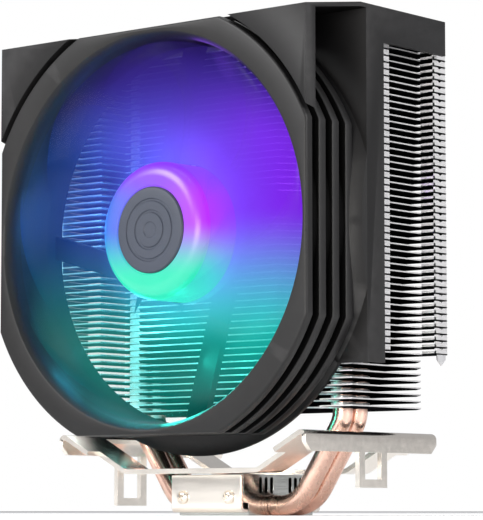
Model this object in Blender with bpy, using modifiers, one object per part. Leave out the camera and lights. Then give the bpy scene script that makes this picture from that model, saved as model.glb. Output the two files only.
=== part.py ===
"""CPU tower cooler: finned tower on two U heat pipes, covered, with one 120 mm fan.

Metres, +Z up. The origin is the centre of the base's contact face. The fan faces -Y.
"""
import math

import bmesh
import bpy
from mathutils import Matrix, Vector

MM = 0.001

# ---------------------------------------------------------------- driving sizes
GAP = 0.3 * MM                     # clearance between pieces that meet
BEYOND = 2.0 * MM                  # how far a cutting tool runs past what it cuts
JOIN = 0.1 * MM                    # how far a joined shape sinks past a flush face

# Heat pipes
PIPE_RADIUS = 3.0 * MM
PIPE_SPACING = 1.0 * MM            # between the two pipes
PIPE_LEG_X = 39.9 * MM             # where the upright legs stand
PIPE_SLOPE = math.radians(56.5)    # lean of the run from base to leg
PIPE_LOW_BEND = 12.0 * MM
PIPE_HIGH_BEND = 10.0 * MM
ELBOW_CLEARANCE = 0.1 * MM         # from the upper bend's end to the first fin
PIPE_TOP_ABOVE_FINS = 1.6 * MM

# Base block
BLOCK_HALF_X = 13.5 * MM
BLOCK_HALF_Y = 17.6 * MM
BLOCK_HEIGHT = 12.2 * MM
SLOT_WIDTH = 1.5 * MM
SLOT_PITCH = 2.6 * MM
SLOT_FIRST = 0.9 * MM              # from a pipe's middle to the nearest slot
SLOTS_PER_SIDE = 3
SLOT_ABOVE_BORE = 1.0 * MM
SLOT_BELOW_TOP = 0.8 * MM

# Clamps that close the base block
CLAMP_SHEET = 1.0 * MM
CLAMP_SIDE_STEP = 0.1 * MM         # how far a clamp stands past the block's sides
CLAMP_TOP_STEP = 0.2 * MM          # how far it ends below the block's top
CLAMP_BEND = 1.6 * MM
CLAMP_LIP = 2.0 * MM
CLAMP_FOOT_Z = 0.9 * MM
CLAMP_SCREW_X = 9.0 * MM
CLAMP_SCREW_Z = 5.4 * MM
SCREW_HEAD_RADIUS = 2.0 * MM
SCREW_HEAD_HEIGHT = 1.1 * MM
SCREW_SHANK_RADIUS = 1.0 * MM
SCREW_LENGTH = 5.0 * MM
SCREW_SEAT_GAP = 0.1 * MM
PAN_HEAD = ((0.55, 0.0), (0.9, 0.35), (1.0, 0.75), (1.0, 1.0))   # shares of radius and height

# Mounting clip, one folded sheet
CLIP_SHEET = 1.4 * MM
CLIP_FLAT_HALF_X = 26.0 * MM
CLIP_PIPE_GAP = 1.4 * MM           # from the pipes' legs to the clip's solid ends
CLIP_JOG = 7.8 * MM                # stretch where the bars widen to the ends
CLIP_END = 3.2 * MM                # from the opening to the flange
CLIP_SHOULDER = 1.6 * MM           # width of the fold over the flange
CLIP_RISE = 10.9 * MM
CLIP_BAR_OUTER_Y = 26.5 * MM
CLIP_BAR_INNER_Y = 15.2 * MM
CLIP_FLANGE_HALF_Y = 31.7 * MM
CLIP_FLANGE_DROP = 5.7 * MM
CLIP_CORNER = 2.6 * MM
HOOK_HALF_Y = 6.8 * MM
HOOK_WINDOW_HALF_Y = 3.9 * MM
HOOK_BAR = 2.4 * MM
HOOK_REACH = {1: 10.3 * MM, -1: 15.4 * MM}   # below the flange, right and left

# Fins
FIN_THICKNESS = 0.4 * MM
FIN_PITCH = 2.0 * MM
FIN_FIRST_Z = 31.5 * MM
LOWER_FINS = 8
UPPER_FINS = 47
FIN_FRONT_Y = -18.8 * MM
FIN_REAR_Y = 21.2 * MM
FIN_SIDE_GAP = 1.8 * MM            # from the ears to the cover's wall
EAR_STEP = 4.9 * MM                # how far the ears stand past the waist
FRONT_EAR_END_Y = -7.0 * MM
REAR_EAR_START_Y = 15.2 * MM
FIN_CORNER = 6.6 * MM              # cut corner of the lower fins
COLLAR_WALL = 0.6 * MM
COLLAR_CORNER = 0.58               # share of a pipe collar's reach that its corners cut
COLLAR_LIP = 0.8 * MM              # how far the last collar stands above its fin

# Fan frame
FAN_HALF = 60.0 * MM               # half the fan's square
FAN_CORNER_REACH = 6.1 * MM        # how far the round outline stands past the square's side
FAN_EDGE = 0.8 * MM
FAN_DEPTH = 24.0 * MM
MOUTH_RIM = 1.0 * MM               # least width of the front flange
BORE_INSET = 3.0 * MM              # from the square's side to the bore
BORE_LIP = 0.6 * MM                # how much the mouth opens in front of the bore
BORE_LIP_DEPTH = 1.8 * MM
BORE_STRAIGHT_DEPTH = 4.5 * MM
DUCT_WALL = 1.9 * MM
DUCT_SEAT_STEP = 0.7 * MM
RIB_THICKNESS = 3.05 * MM
RIB_PITCH = 6.1 * MM
RIBS = 4
TOP_RELIEF = 0.7 * MM              # how far the rear ribs keep under the cover's top
TOP_RELIEF_START = 1.0 * MM        # from the front flange to the relief
STRUT_WIDTH = 7.0 * MM
STRUT_THICKNESS = 2.6 * MM
STRUT_OFFSET = 12.0 * MM           # how far beside the axis a strut starts
STRUT_ROOT = 4.0 * MM              # how far a strut starts inside the seat
STRUTS = 4
SEAT_FLOOR = 1.0 * MM
FAN_SCREW_INSET = 2.7 * MM         # from the round outline to the screws' circle
FAN_SCREWS = 4
FAN_SCREW_HEAD_RADIUS = 2.2 * MM
FAN_SCREW_HEAD_HEIGHT = 0.9 * MM
FAN_SCREW_RADIUS = 1.2 * MM
FAN_SCREW_SEAT_GAP = 0.1 * MM

# Impeller
HUB_RADIUS = 20.5 * MM
HUB_WALL = 1.5 * MM
HUB_FRONT = 1.8 * MM               # depth behind the fan's front face
HUB_STRUT_GAP = 0.6 * MM           # from the hub's rear to the struts
HUB_EDGE = 1.8 * MM
CAP_RADIUS = 12.8 * MM
CAP_EDGE = 0.4 * MM
CAP_RECESS = 1.2 * MM
CAP_PROUD = 0.1 * MM
BLADES = 9
BLADE_TIP_GAP = 0.8 * MM
BLADE_THICKNESS = 1.0 * MM
BLADE_MID_DEPTH = 10.6 * MM
BLADE_HUB_CHORD = 19.0 * MM
BLADE_TIP_CHORD = 34.0 * MM
BLADE_HUB_PITCH = math.radians(42.0)
BLADE_TIP_PITCH = math.radians(20.0)
BLADE_SWEEP = math.radians(24.0)
BLADE_CAMBER = 0.09                # height of the curve as a share of the chord
BLADE_ROOT_SINK = 0.6              # share of the hub's wall that a blade's root fills

# Motor
SHAFT_RADIUS = 1.5 * MM
SHAFT_RUN_GAP = 0.12 * MM
SHAFT_REAR_GAP = 1.0 * MM          # from the shaft's end to the seat's floor
SHAFT_GROOVE = 0.8 * MM
SHAFT_GROOVE_DEPTH = 0.5 * MM
SHAFT_END = 0.9 * MM               # from the groove to the shaft's end
BEARING_WALL = 1.9 * MM
BEARING_FRONT = 8.2 * MM
BEARING_GROOVE_GAP = 0.5 * MM      # from the sleeve to the shaft's groove
BEARING_TUBE_WALL = 1.0 * MM
BEARING_TUBE_SHORT = 0.8 * MM      # how far the tube ends behind the sleeve's front
CLIP_THICKNESS = 0.5 * MM
CLIP_IN_GROOVE = 0.3 * MM
CLIP_TUBE_GAP = 0.5 * MM
YOKE_WALL = 1.0 * MM
YOKE_PAST_CORE = 2.0 * MM
MAGNET_WALL = 2.0 * MM
AIR_GAP = 0.5 * MM
CORE_LENGTH = 5.0 * MM
CORE_BOARD_GAP = 3.5 * MM
CORE_RING = 2.4 * MM
POLE_TIP = 1.6 * MM
POLE_WIDTH = 3.2 * MM
POLE_GAP_HALF_TURN = 0.13          # half of the gap between pole tips, in radians
POLES = 4
COIL_SIDE = 1.8 * MM
COIL_END = 1.0 * MM
BOARD_THICKNESS = 1.0 * MM
BOARD_SIDE_GAP = 1.0 * MM
BOARD_SEAT_GAP = 1.3 * MM
LEDS = 4
LED_SIZE = 2.2 * MM
LED_HEIGHT = 0.8 * MM
LED_EDGE_GAP = 0.44 * MM
LED_BOARD_GAP = 0.1 * MM

# Cover
COVER_WALL = 1.3 * MM
COVER_HEADROOM = 4.1 * MM          # from the pipes' ends to the cover's top wall
COVER_FLARE = 3.0 * MM             # how much wider the cover is than the fan
COVER_FLARE_DEPTH = 21.6 * MM
COVER_FRONT_PLATE = 3.8 * MM
BULKHEAD_FAN_GAP = 0.2 * MM
BULKHEAD_THICKNESS = 1.6 * MM
BULKHEAD_FIN_GAP = 1.6 * MM
COVER_SHORT = 4.2 * MM             # how far the cover ends in front of the fins' rear edges
COVER_BAND = 6.7 * MM              # side band between the bulkhead and the side window
COVER_WINDOW_TOP = 52.7 * MM       # above the fan's axis
COVER_BOTTOM = 40.0 * MM           # below the fan's axis
CORNER_PLATE_BOTTOM = 25.0 * MM    # above the fan's axis
CORNER_GROOVE = 1.6 * MM           # arc groove between fan flange and corner pieces
COLLAR_START_DEPTH = 19.6 * MM     # depth of the duct collar's cone at the square's side
COLLAR_SLOPE = 0.8                 # depth that the cone gains for each unit of radius
COLLAR_RIB_GAP = 0.45 * MM
COLLAR_RIM = 0.2 * MM              # how far the collar stays inside the round outline
DUCT_HOLE_GAP = 0.4 * MM
FAN_SCREW_HOLE_RADIUS = 1.5 * MM

ROUND = 48                         # sides of the large round pieces
HUB_ROUND = 36
MOTOR_ROUND = 32
SMALL_ROUND = 16
SCREW_ROUND = 10
HOLE_ROUND = 8

# ---------------------------------------------------------------- sizes that follow
PIPE_PITCH = 2.0 * PIPE_RADIUS + PIPE_SPACING
TOP_FIN_Z = FIN_FIRST_Z + (LOWER_FINS + UPPER_FINS - 1) * FIN_PITCH
PIPE_TOP_Z = TOP_FIN_Z + PIPE_TOP_ABOVE_FINS
HIGH_BEND_RUN = PIPE_HIGH_BEND * math.tan((math.pi / 2.0 - PIPE_SLOPE) / 2.0)
PIPE_ELBOW_Z = FIN_FIRST_Z - FIN_THICKNESS / 2.0 - HIGH_BEND_RUN - ELBOW_CLEARANCE
PIPE_FOOT_X = PIPE_LEG_X - (PIPE_ELBOW_Z - PIPE_RADIUS) / math.tan(PIPE_SLOPE)
CLIP_OPENING_X = PIPE_LEG_X + PIPE_RADIUS + CLIP_PIPE_GAP
CLIP_FLANGE_X = CLIP_OPENING_X + CLIP_END
FIN_EAR_X = FAN_HALF + COVER_FLARE - COVER_WALL - FIN_SIDE_GAP
FIN_WAIST_X = FIN_EAR_X - EAR_STEP
FAN_Z = PIPE_TOP_Z + COVER_HEADROOM + COVER_WALL - COVER_FLARE - FAN_HALF
COVER_BULKHEAD = FAN_DEPTH + BULKHEAD_FAN_GAP
BULKHEAD_REAR = COVER_BULKHEAD + BULKHEAD_THICKNESS
FAN_FRONT_Y = FIN_FRONT_Y - BULKHEAD_FIN_GAP - BULKHEAD_REAR
COVER_DEPTH = FIN_REAR_Y - COVER_SHORT - FAN_FRONT_Y
COVER_BAND_REAR = BULKHEAD_REAR + COVER_BAND
FAN_RADIUS = FAN_HALF + FAN_CORNER_REACH
MOUTH_RADIUS = FAN_HALF - MOUTH_RIM
BORE_RADIUS = FAN_HALF - BORE_INSET
DUCT_RADIUS = BORE_RADIUS + DUCT_WALL
DUCT_SEAT_RADIUS = DUCT_RADIUS + DUCT_SEAT_STEP
LAST_RIB_FRONT = (RIBS - 1) * RIB_PITCH
LAST_RIB_REAR = LAST_RIB_FRONT + RIB_THICKNESS
FAN_SCREW_CIRCLE = FAN_RADIUS - FAN_SCREW_INSET
SEAT_FRONT = FAN_DEPTH - STRUT_THICKNESS - JOIN
SEAT_RADIUS = HUB_RADIUS - 0.5 * MM
HUB_INNER = HUB_RADIUS - HUB_WALL
HUB_REAR = FAN_DEPTH - STRUT_THICKNESS - HUB_STRUT_GAP
CAP_SEAT = HUB_FRONT + CAP_RECESS
BOARD_REAR = SEAT_FRONT - BOARD_SEAT_GAP
BOARD_FRONT = BOARD_REAR - BOARD_THICKNESS
BOARD_RADIUS = HUB_INNER - BOARD_SIDE_GAP
CORE_REAR = BOARD_FRONT - CORE_BOARD_GAP
CORE_FRONT = CORE_REAR - CORE_LENGTH
YOKE_OUTER = HUB_INNER - GAP
YOKE_FRONT = CAP_SEAT + HUB_WALL + GAP
YOKE_REAR = CORE_REAR + YOKE_PAST_CORE
MAGNET_OUTER = YOKE_OUTER - YOKE_WALL - GAP
MAGNET_INNER = MAGNET_OUTER - MAGNET_WALL
CORE_OUTER = MAGNET_INNER - AIR_GAP
SLEEVE_INNER = SHAFT_RADIUS + SHAFT_RUN_GAP
SLEEVE_OUTER = SLEEVE_INNER + BEARING_WALL
TUBE_INNER = SLEEVE_OUTER + GAP
TUBE_OUTER = TUBE_INNER + BEARING_TUBE_WALL
SHAFT_REAR = FAN_DEPTH - SEAT_FLOOR - SHAFT_REAR_GAP
GROOVE_REAR = SHAFT_REAR - SHAFT_END
GROOVE_FRONT = GROOVE_REAR - SHAFT_GROOVE


# ---------------------------------------------------------------- scene set-up
def clear_scene():
    for item in list(bpy.data.objects):
        bpy.data.objects.remove(item, do_unlink=True)
    for group in list(bpy.data.collections):
        bpy.data.collections.remove(group)


def new_collection(name):
    group = bpy.data.collections.new(name)
    bpy.context.scene.collection.children.link(group)
    return group


def make_material(name, colour, roughness, metallic=0.0, alpha=1.0):
    material = bpy.data.materials.new(name)
    material.use_nodes = True
    shader = material.node_tree.nodes["Principled BSDF"]
    shader.inputs["Base Color"].default_value = (*colour, 1.0)
    shader.inputs["Roughness"].default_value = roughness
    shader.inputs["Metallic"].default_value = metallic
    shader.inputs["Alpha"].default_value = alpha
    material.diffuse_color = (*colour, alpha)
    return material


clear_scene()
PARTS = new_collection("cpu_tower_cooler")
CUTTERS = new_collection("cutters")


# ---------------------------------------------------------------- modelling helpers
def add_object(name, mesh, material=None, parent=None, tool=False):
    """Put a mesh in the scene as a part, or as a tool that only cuts or joins."""
    item = bpy.data.objects.new(name, mesh)
    (CUTTERS if tool else PARTS).objects.link(item)
    if material:
        mesh.materials.append(material)
    if parent:
        item.parent = parent
    if tool:
        item.hide_render = True
        item.display_type = "WIRE"
    return item


def mesh_from(name, work):
    bmesh.ops.recalc_face_normals(work, faces=work.faces)
    mesh = bpy.data.meshes.new(name)
    work.to_mesh(mesh)
    work.free()
    return mesh


def box_mesh(name, low, high):
    work = bmesh.new()
    bmesh.ops.create_cube(work, size=1.0)
    for vert in work.verts:
        vert.co = [low[i] if vert.co[i] < 0 else high[i] for i in range(3)]
    return mesh_from(name, work)


def prism_mesh(name, outlines, low, high, axis="Z"):
    """Extrude each closed outline between two heights along an axis."""
    work = bmesh.new()
    place = {"Z": lambda u, v, w: (u, v, w), "X": lambda u, v, w: (w, u, v),
             "Y": lambda u, v, w: (u, w, v)}[axis]
    for outline in outlines:
        bottom = [work.verts.new(place(u, v, low)) for u, v in outline]
        face = work.faces.new(bottom)
        grown = bmesh.ops.extrude_face_region(work, geom=[face])
        shift = Vector(place(0.0, 0.0, high - low))
        moved = [g for g in grown["geom"] if isinstance(g, bmesh.types.BMVert)]
        bmesh.ops.translate(work, vec=shift, verts=moved)
    return mesh_from(name, work)


def circle_points(radius, sides, centre=(0.0, 0.0), turn=0.0):
    step = 2.0 * math.pi / sides
    return [(centre[0] + radius * math.cos(turn + i * step),
             centre[1] + radius * math.sin(turn + i * step)) for i in range(sides)]


def turned(name, profile, steps, material=None, parent=None, tool=False, closed=True):
    """Turn a (radius, depth) profile about the fan's axis; depth grows towards the rear."""
    work = bmesh.new()
    verts = [work.verts.new((radius, 0.0, -depth)) for radius, depth in profile]
    for first, second in zip(verts, verts[1:]):
        work.edges.new((first, second))
    if closed:
        work.edges.new((verts[-1], verts[0]))
    mesh = bpy.data.meshes.new(name)
    work.to_mesh(mesh)
    work.free()
    item = add_object(name, mesh, material, parent, tool)
    screw = item.modifiers.new("Turn", "SCREW")
    screw.axis = "Z"
    screw.angle = 2.0 * math.pi
    screw.steps = steps
    screw.render_steps = steps
    screw.use_merge_vertices = True
    screw.merge_threshold = 0.00001
    return item


def combine(target, tool, operation="DIFFERENCE"):
    step = target.modifiers.new(operation.title(), "BOOLEAN")
    step.operation = operation
    step.solver = "EXACT"
    step.object = tool
    return step


def smooth_round(item, angle=35.0):
    item.data.shade_smooth()
    item.data.set_sharp_from_angle(angle=math.radians(angle))


# ---------------------------------------------------------------- materials
CHARCOAL = make_material("charcoal_plastic", (0.058, 0.056, 0.056), 0.45)
ALUMINIUM = make_material("fin_aluminium", (0.78, 0.78, 0.79), 0.32, 1.0)
COPPER = make_material("pipe_copper", (0.72, 0.43, 0.33), 0.28, 1.0)
NICKEL = make_material("clip_nickel", (0.74, 0.71, 0.64), 0.24, 1.0)
BLOCK = make_material("block_aluminium", (0.62, 0.62, 0.61), 0.3, 1.0)
SCREW_STEEL = make_material("screw_nickel", (0.72, 0.69, 0.62), 0.26, 1.0)
BLACK_SCREW = make_material("black_screw", (0.03, 0.03, 0.03), 0.4, 1.0)
FROSTED = make_material("frosted_blades", (0.65, 0.7, 0.85), 0.35, 0.0, 0.6)
CAP = make_material("hub_cap_plastic", (0.045, 0.046, 0.055), 0.4)
STEEL = make_material("yoke_steel", (0.45, 0.45, 0.46), 0.35, 1.0)
MAGNET = make_material("magnet_ferrite", (0.03, 0.03, 0.032), 0.6)
BRASS = make_material("bearing_brass", (0.65, 0.5, 0.22), 0.3, 1.0)
LAMINATION = make_material("core_steel", (0.3, 0.31, 0.33), 0.45, 1.0)
WINDING = make_material("winding_copper", (0.6, 0.28, 0.14), 0.35, 1.0)
BOARD = make_material("board_green", (0.02, 0.11, 0.05), 0.5)
LED_WHITE = make_material("led_white", (0.85, 0.87, 0.9), 0.25)
CLIP_PLASTIC = make_material("retaining_clip_plastic", (0.7, 0.7, 0.66), 0.5)


# ---------------------------------------------------------------- base
def pipe_positions():
    return {"front": -PIPE_PITCH / 2.0, "rear": PIPE_PITCH / 2.0}


def cut_base(item, name, mesh):
    combine(item, add_object(name, mesh, tool=True))


def clamp_screw_places():
    return [(side, x) for side in (-1, 1) for x in (-CLAMP_SCREW_X, CLAMP_SCREW_X)]


def make_base_block():
    low = (-BLOCK_HALF_X, -BLOCK_HALF_Y, 0.0)
    high = (BLOCK_HALF_X, BLOCK_HALF_Y, BLOCK_HEIGHT)
    block = add_object("base_block", box_mesh("base_block", low, high), BLOCK)
    reach = BLOCK_HALF_X + BEYOND
    bores = [circle_points(PIPE_RADIUS + GAP, SMALL_ROUND, (y, PIPE_RADIUS))
             for y in pipe_positions().values()]
    cut_base(block, "pipe_bores", prism_mesh("pipe_bores", bores, -reach, reach, "X"))
    slots = []
    half = SLOT_WIDTH / 2.0
    slot_bottom = 2.0 * PIPE_RADIUS + GAP + SLOT_ABOVE_BORE
    slot_top = BLOCK_HEIGHT - SLOT_BELOW_TOP
    for side in (-1, 1):
        for number in range(SLOTS_PER_SIDE):
            middle = side * (PIPE_PITCH / 2.0 + SLOT_FIRST + number * SLOT_PITCH)
            slots.append([(middle - half, slot_bottom), (middle, slot_bottom - half),
                          (middle + half, slot_bottom), (middle + half, slot_top),
                          (middle, slot_top + half / 2.0), (middle - half, slot_top)])
    cut_base(block, "block_slots", prism_mesh("block_slots", slots, -reach, reach, "X"))
    lip_top = CLAMP_FOOT_Z + CLAMP_BEND + CLAMP_SHEET + GAP
    lip_in = BLOCK_HALF_Y - CLAMP_LIP - GAP
    for side in (-1, 1):
        near, far = sorted((side * lip_in, side * (BLOCK_HALF_Y + BEYOND)))
        name = "lip_rebate_%s" % ("front" if side < 0 else "rear")
        cut_base(block, name, box_mesh(name, (-reach, near, -BEYOND), (reach, far, lip_top)))
    for side, x in clamp_screw_places():
        near, far = sorted((side * (BLOCK_HALF_Y - SCREW_LENGTH), side * (BLOCK_HALF_Y + BEYOND)))
        name = "clamp_hole_%d_%d" % (round(x / MM), side)
        circle = circle_points(SCREW_SHANK_RADIUS + GAP, HOLE_ROUND, (x, CLAMP_SCREW_Z))
        cut_base(block, name, prism_mesh(name, [circle], near, far, "Y"))


def clamp_outer_face():
    """Distance of a clamp's outer face from the block's middle."""
    return BLOCK_HALF_Y + GAP + CLAMP_SHEET


def add_sheet(item, thickness):
    """Give an open surface its thickness, half to each side."""
    sheet = item.modifiers.new("Sheet", "SOLIDIFY")
    sheet.thickness = thickness
    sheet.offset = 0.0
    sheet.use_even_offset = True


def make_base_clamp(name, side):
    """Sheet held against the block's face, curled under it at the foot."""
    face = clamp_outer_face() - CLAMP_SHEET / 2.0
    foot = CLAMP_FOOT_Z + CLAMP_SHEET / 2.0
    half_x = BLOCK_HALF_X + CLAMP_SIDE_STEP
    profile = [(face, BLOCK_HEIGHT - CLAMP_TOP_STEP)]
    bend_steps = 4
    for step in range(bend_steps + 1):
        angle = step * math.pi / 2.0 / bend_steps
        profile.append((face - CLAMP_BEND + CLAMP_BEND * math.cos(angle),
                        foot + CLAMP_BEND - CLAMP_BEND * math.sin(angle)))
    profile.append((BLOCK_HALF_Y - CLAMP_LIP, foot))
    work = bmesh.new()
    rows = []
    for x in (-half_x, half_x):
        rows.append([work.verts.new((x, side * y, z)) for y, z in profile])
    for i in range(len(profile) - 1):
        work.faces.new((rows[0][i], rows[1][i], rows[1][i + 1], rows[0][i + 1]))
    clamp = add_object(name, mesh_from(name, work), NICKEL)
    add_sheet(clamp, CLAMP_SHEET)
    near, far = sorted((side * (face - BEYOND), side * (face + BEYOND)))
    for x in (-CLAMP_SCREW_X, CLAMP_SCREW_X):
        hole_name = "%s_hole_%d" % (name, round(x / MM))
        circle = circle_points(SCREW_SHANK_RADIUS + GAP, HOLE_ROUND, (x, CLAMP_SCREW_Z))
        cut_base(clamp, hole_name, prism_mesh(hole_name, [circle], near, far, "Y"))


def screw_profile(head_radius, head_height, shank_radius, length):
    """Pan head and plain shank; depth 0 is the top of the head."""
    head = [(head_radius * share, head_height * drop) for share, drop in PAN_HEAD]
    end = head_height + length
    return [(0.0, 0.0), *head, (shank_radius, head_height), (shank_radius, end), (0.0, end)]


def make_clamp_screws():
    profile = screw_profile(SCREW_HEAD_RADIUS, SCREW_HEAD_HEIGHT, SCREW_SHANK_RADIUS, SCREW_LENGTH)
    head_top = clamp_outer_face() + SCREW_SEAT_GAP + SCREW_HEAD_HEIGHT
    for number, (side, x) in enumerate(clamp_screw_places()):
        name = "clamp_screw_%d" % (number + 1)
        screw = turned(name, profile, SCREW_ROUND, SCREW_STEEL, closed=False)
        screw.location = (x, side * head_top, CLAMP_SCREW_Z)
        screw.rotation_euler = (-side * math.pi / 2.0, 0.0, 0.0)
        smooth_round(screw)


# ---------------------------------------------------------------- mounting clip
def clip_rows(side):
    """Named rows of the folded sheet in XZ, from its middle down to the hook's foot."""
    low = BLOCK_HEIGHT + GAP + CLIP_SHEET / 2.0
    high = low + CLIP_RISE
    shoulder = CLIP_FLANGE_X - CLIP_SHOULDER
    slope = CLIP_RISE / (shoulder - CLIP_FLAT_HALF_X)
    jog = CLIP_OPENING_X - CLIP_JOG
    foot = high - CLIP_FLANGE_DROP
    reach = HOOK_REACH[side]
    return [("bars", 0.0, low),
            ("bars", CLIP_FLAT_HALF_X, low),
            ("wide", jog, low + (jog - CLIP_FLAT_HALF_X) * slope),
            ("full", CLIP_OPENING_X, low + (CLIP_OPENING_X - CLIP_FLAT_HALF_X) * slope),
            ("full", shoulder, high),
            ("full", CLIP_FLANGE_X - CLIP_SHOULDER / 4.0, high - CLIP_SHOULDER / 8.0),
            ("corner", CLIP_FLANGE_X, high - CLIP_SHOULDER * 0.8),
            ("corner", CLIP_FLANGE_X, foot + CLIP_CORNER),
            ("window", CLIP_FLANGE_X, foot),
            ("hook", CLIP_FLANGE_X, foot - reach + HOOK_BAR),
            ("end", CLIP_FLANGE_X, foot - reach)]


def clip_keeps(row, near, far):
    """Whether the sheet fills the stretch between two distances from the middle line."""
    bars = near >= CLIP_BAR_INNER_Y and far <= CLIP_BAR_OUTER_Y
    return {"bars": bars, "wide": near >= CLIP_BAR_INNER_Y, "full": True, "corner": True,
            "window": near >= HOOK_WINDOW_HALF_Y and far <= HOOK_HALF_Y,
            "hook": far <= HOOK_HALF_Y}[row]


def make_mounting_clip():
    edges = [CLIP_FLANGE_HALF_Y, CLIP_BAR_OUTER_Y, CLIP_BAR_INNER_Y, HOOK_HALF_Y, HOOK_WINDOW_HALF_Y]
    lines = [-y for y in edges] + edges[::-1]
    work = bmesh.new()
    grid = {}

    def corner_at(side, row, column):
        name, x, z = clip_rows(side)[row]
        y = lines[column]
        if name == "window" and abs(y) == CLIP_FLANGE_HALF_Y:
            y = math.copysign(CLIP_FLANGE_HALF_Y - CLIP_CORNER, y)
        key = (side if row else 0, row, column)
        if key not in grid:
            grid[key] = work.verts.new((side * x, y, z))
        return grid[key]

    for side in (-1, 1):
        rows = clip_rows(side)
        for row in range(len(rows) - 1):
            for column in range(len(lines) - 1):
                near, far = sorted((abs(lines[column]), abs(lines[column + 1])))
                if near == far:
                    near = 0.0
                if clip_keeps(rows[row][0], near, far):
                    work.faces.new([corner_at(side, row, column),
                                    corner_at(side, row, column + 1),
                                    corner_at(side, row + 1, column + 1),
                                    corner_at(side, row + 1, column)])
    clip = add_object("mounting_clip", mesh_from("mounting_clip", work), NICKEL)
    add_sheet(clip, CLIP_SHEET)


# ---------------------------------------------------------------- heat pipes
def rounded_path(corners, steps):
    """Points along straight runs joined by arcs; each corner is (point, bend radius)."""
    points = [Vector(corners[0][0])]
    for index in range(1, len(corners) - 1):
        before, here, after = (Vector(corners[index + k][0]) for k in (-1, 0, 1))
        radius = corners[index][1]
        into = (here - before).normalized()
        out = (after - here).normalized()
        turn = into.angle(out)
        start = here - into * radius * math.tan(turn / 2.0)
        side = (out - into * into.dot(out)).normalized()
        centre = start + side * radius
        for step in range(steps + 1):
            angle = turn * step / steps
            points.append(centre - side * radius * math.cos(angle) + into * radius * math.sin(angle))
    points.append(Vector(corners[-1][0]))
    return points


def make_heat_pipe(name, y):
    half = [((PIPE_LEG_X, y, PIPE_TOP_Z), 0.0),
            ((PIPE_LEG_X, y, PIPE_ELBOW_Z), PIPE_HIGH_BEND),
            ((PIPE_FOOT_X, y, PIPE_RADIUS), PIPE_LOW_BEND)]
    other = [((-point[0], point[1], point[2]), radius) for point, radius in reversed(half)]
    curve = bpy.data.curves.new(name, "CURVE")
    curve.dimensions = "3D"
    curve.bevel_depth = PIPE_RADIUS
    curve.bevel_resolution = 4
    curve.use_fill_caps = True
    points = rounded_path(half + other, 6)
    spline = curve.splines.new("POLY")
    spline.points.add(len(points) - 1)
    for point, place in zip(spline.points, points):
        point.co = (*place, 1.0)
    curve.materials.append(COPPER)
    pipe = bpy.data.objects.new(name, curve)
    PARTS.objects.link(pipe)


# ---------------------------------------------------------------- fins
def pipe_pair_outline(side, grow):
    """Eight-sided outline round both pipes of one leg pair."""
    reach_x = PIPE_RADIUS + GAP + grow
    reach_y = PIPE_PITCH / 2.0 + reach_x
    cut = reach_x * COLLAR_CORNER
    corners = [(reach_x, reach_y - cut), (reach_x - cut, reach_y)]
    corners += [(-x, y) for x, y in reversed(corners)]
    corners += [(-x, -y) for x, y in corners]
    return [(side * PIPE_LEG_X + x, y) for x, y in corners]


def make_fin_stack(name, outline, first, count):
    """Fins joined, as they are pressed together, by the collars round the pipes."""
    low = FIN_FIRST_Z + first * FIN_PITCH - FIN_THICKNESS / 2.0
    high = low + (count - 1) * FIN_PITCH + FIN_THICKNESS
    fins = add_object(name, prism_mesh(name, [outline], low, low + FIN_THICKNESS), ALUMINIUM)
    array = fins.modifiers.new("Fins", "ARRAY")
    array.count = count
    array.use_relative_offset = False
    array.use_constant_offset = True
    array.constant_offset_displace = (0.0, 0.0, FIN_PITCH)
    array.use_merge_vertices = False
    for kind, grow, bottom, top, operation in (
            ("collars", COLLAR_WALL, low + FIN_THICKNESS / 2.0, high + COLLAR_LIP, "UNION"),
            ("holes", 0.0, low - FIN_PITCH, high + FIN_PITCH, "DIFFERENCE")):
        tool_name = "%s_%s" % (name, kind)
        outlines = [pipe_pair_outline(side, grow) for side in (-1, 1)]
        tool = add_object(tool_name, prism_mesh(tool_name, outlines, bottom, top), tool=True)
        combine(fins, tool, operation)


def mirrored_outline(half):
    """Closed outline from the points of its +X side, front to rear."""
    return half + [(-x, y) for x, y in reversed(half)]


def make_fins():
    lower = [(FIN_WAIST_X, FIN_FRONT_Y), (FIN_WAIST_X, FIN_REAR_Y - FIN_CORNER),
             (FIN_WAIST_X - FIN_CORNER, FIN_REAR_Y)]
    upper = [(FIN_EAR_X, FIN_FRONT_Y), (FIN_EAR_X, FRONT_EAR_END_Y),
             (FIN_WAIST_X, FRONT_EAR_END_Y), (FIN_WAIST_X, REAR_EAR_START_Y),
             (FIN_EAR_X, REAR_EAR_START_Y), (FIN_EAR_X, FIN_REAR_Y)]
    make_fin_stack("lower_fin_stack", mirrored_outline(lower), 0, LOWER_FINS)
    make_fin_stack("upper_fin_stack", mirrored_outline(upper), LOWER_FINS, UPPER_FINS)


# ---------------------------------------------------------------- fan frame
def collar_depth(radius):
    """Depth of the duct collar's cone where it has this radius."""
    return COLLAR_START_DEPTH + (radius - FAN_HALF) * COLLAR_SLOPE


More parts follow.
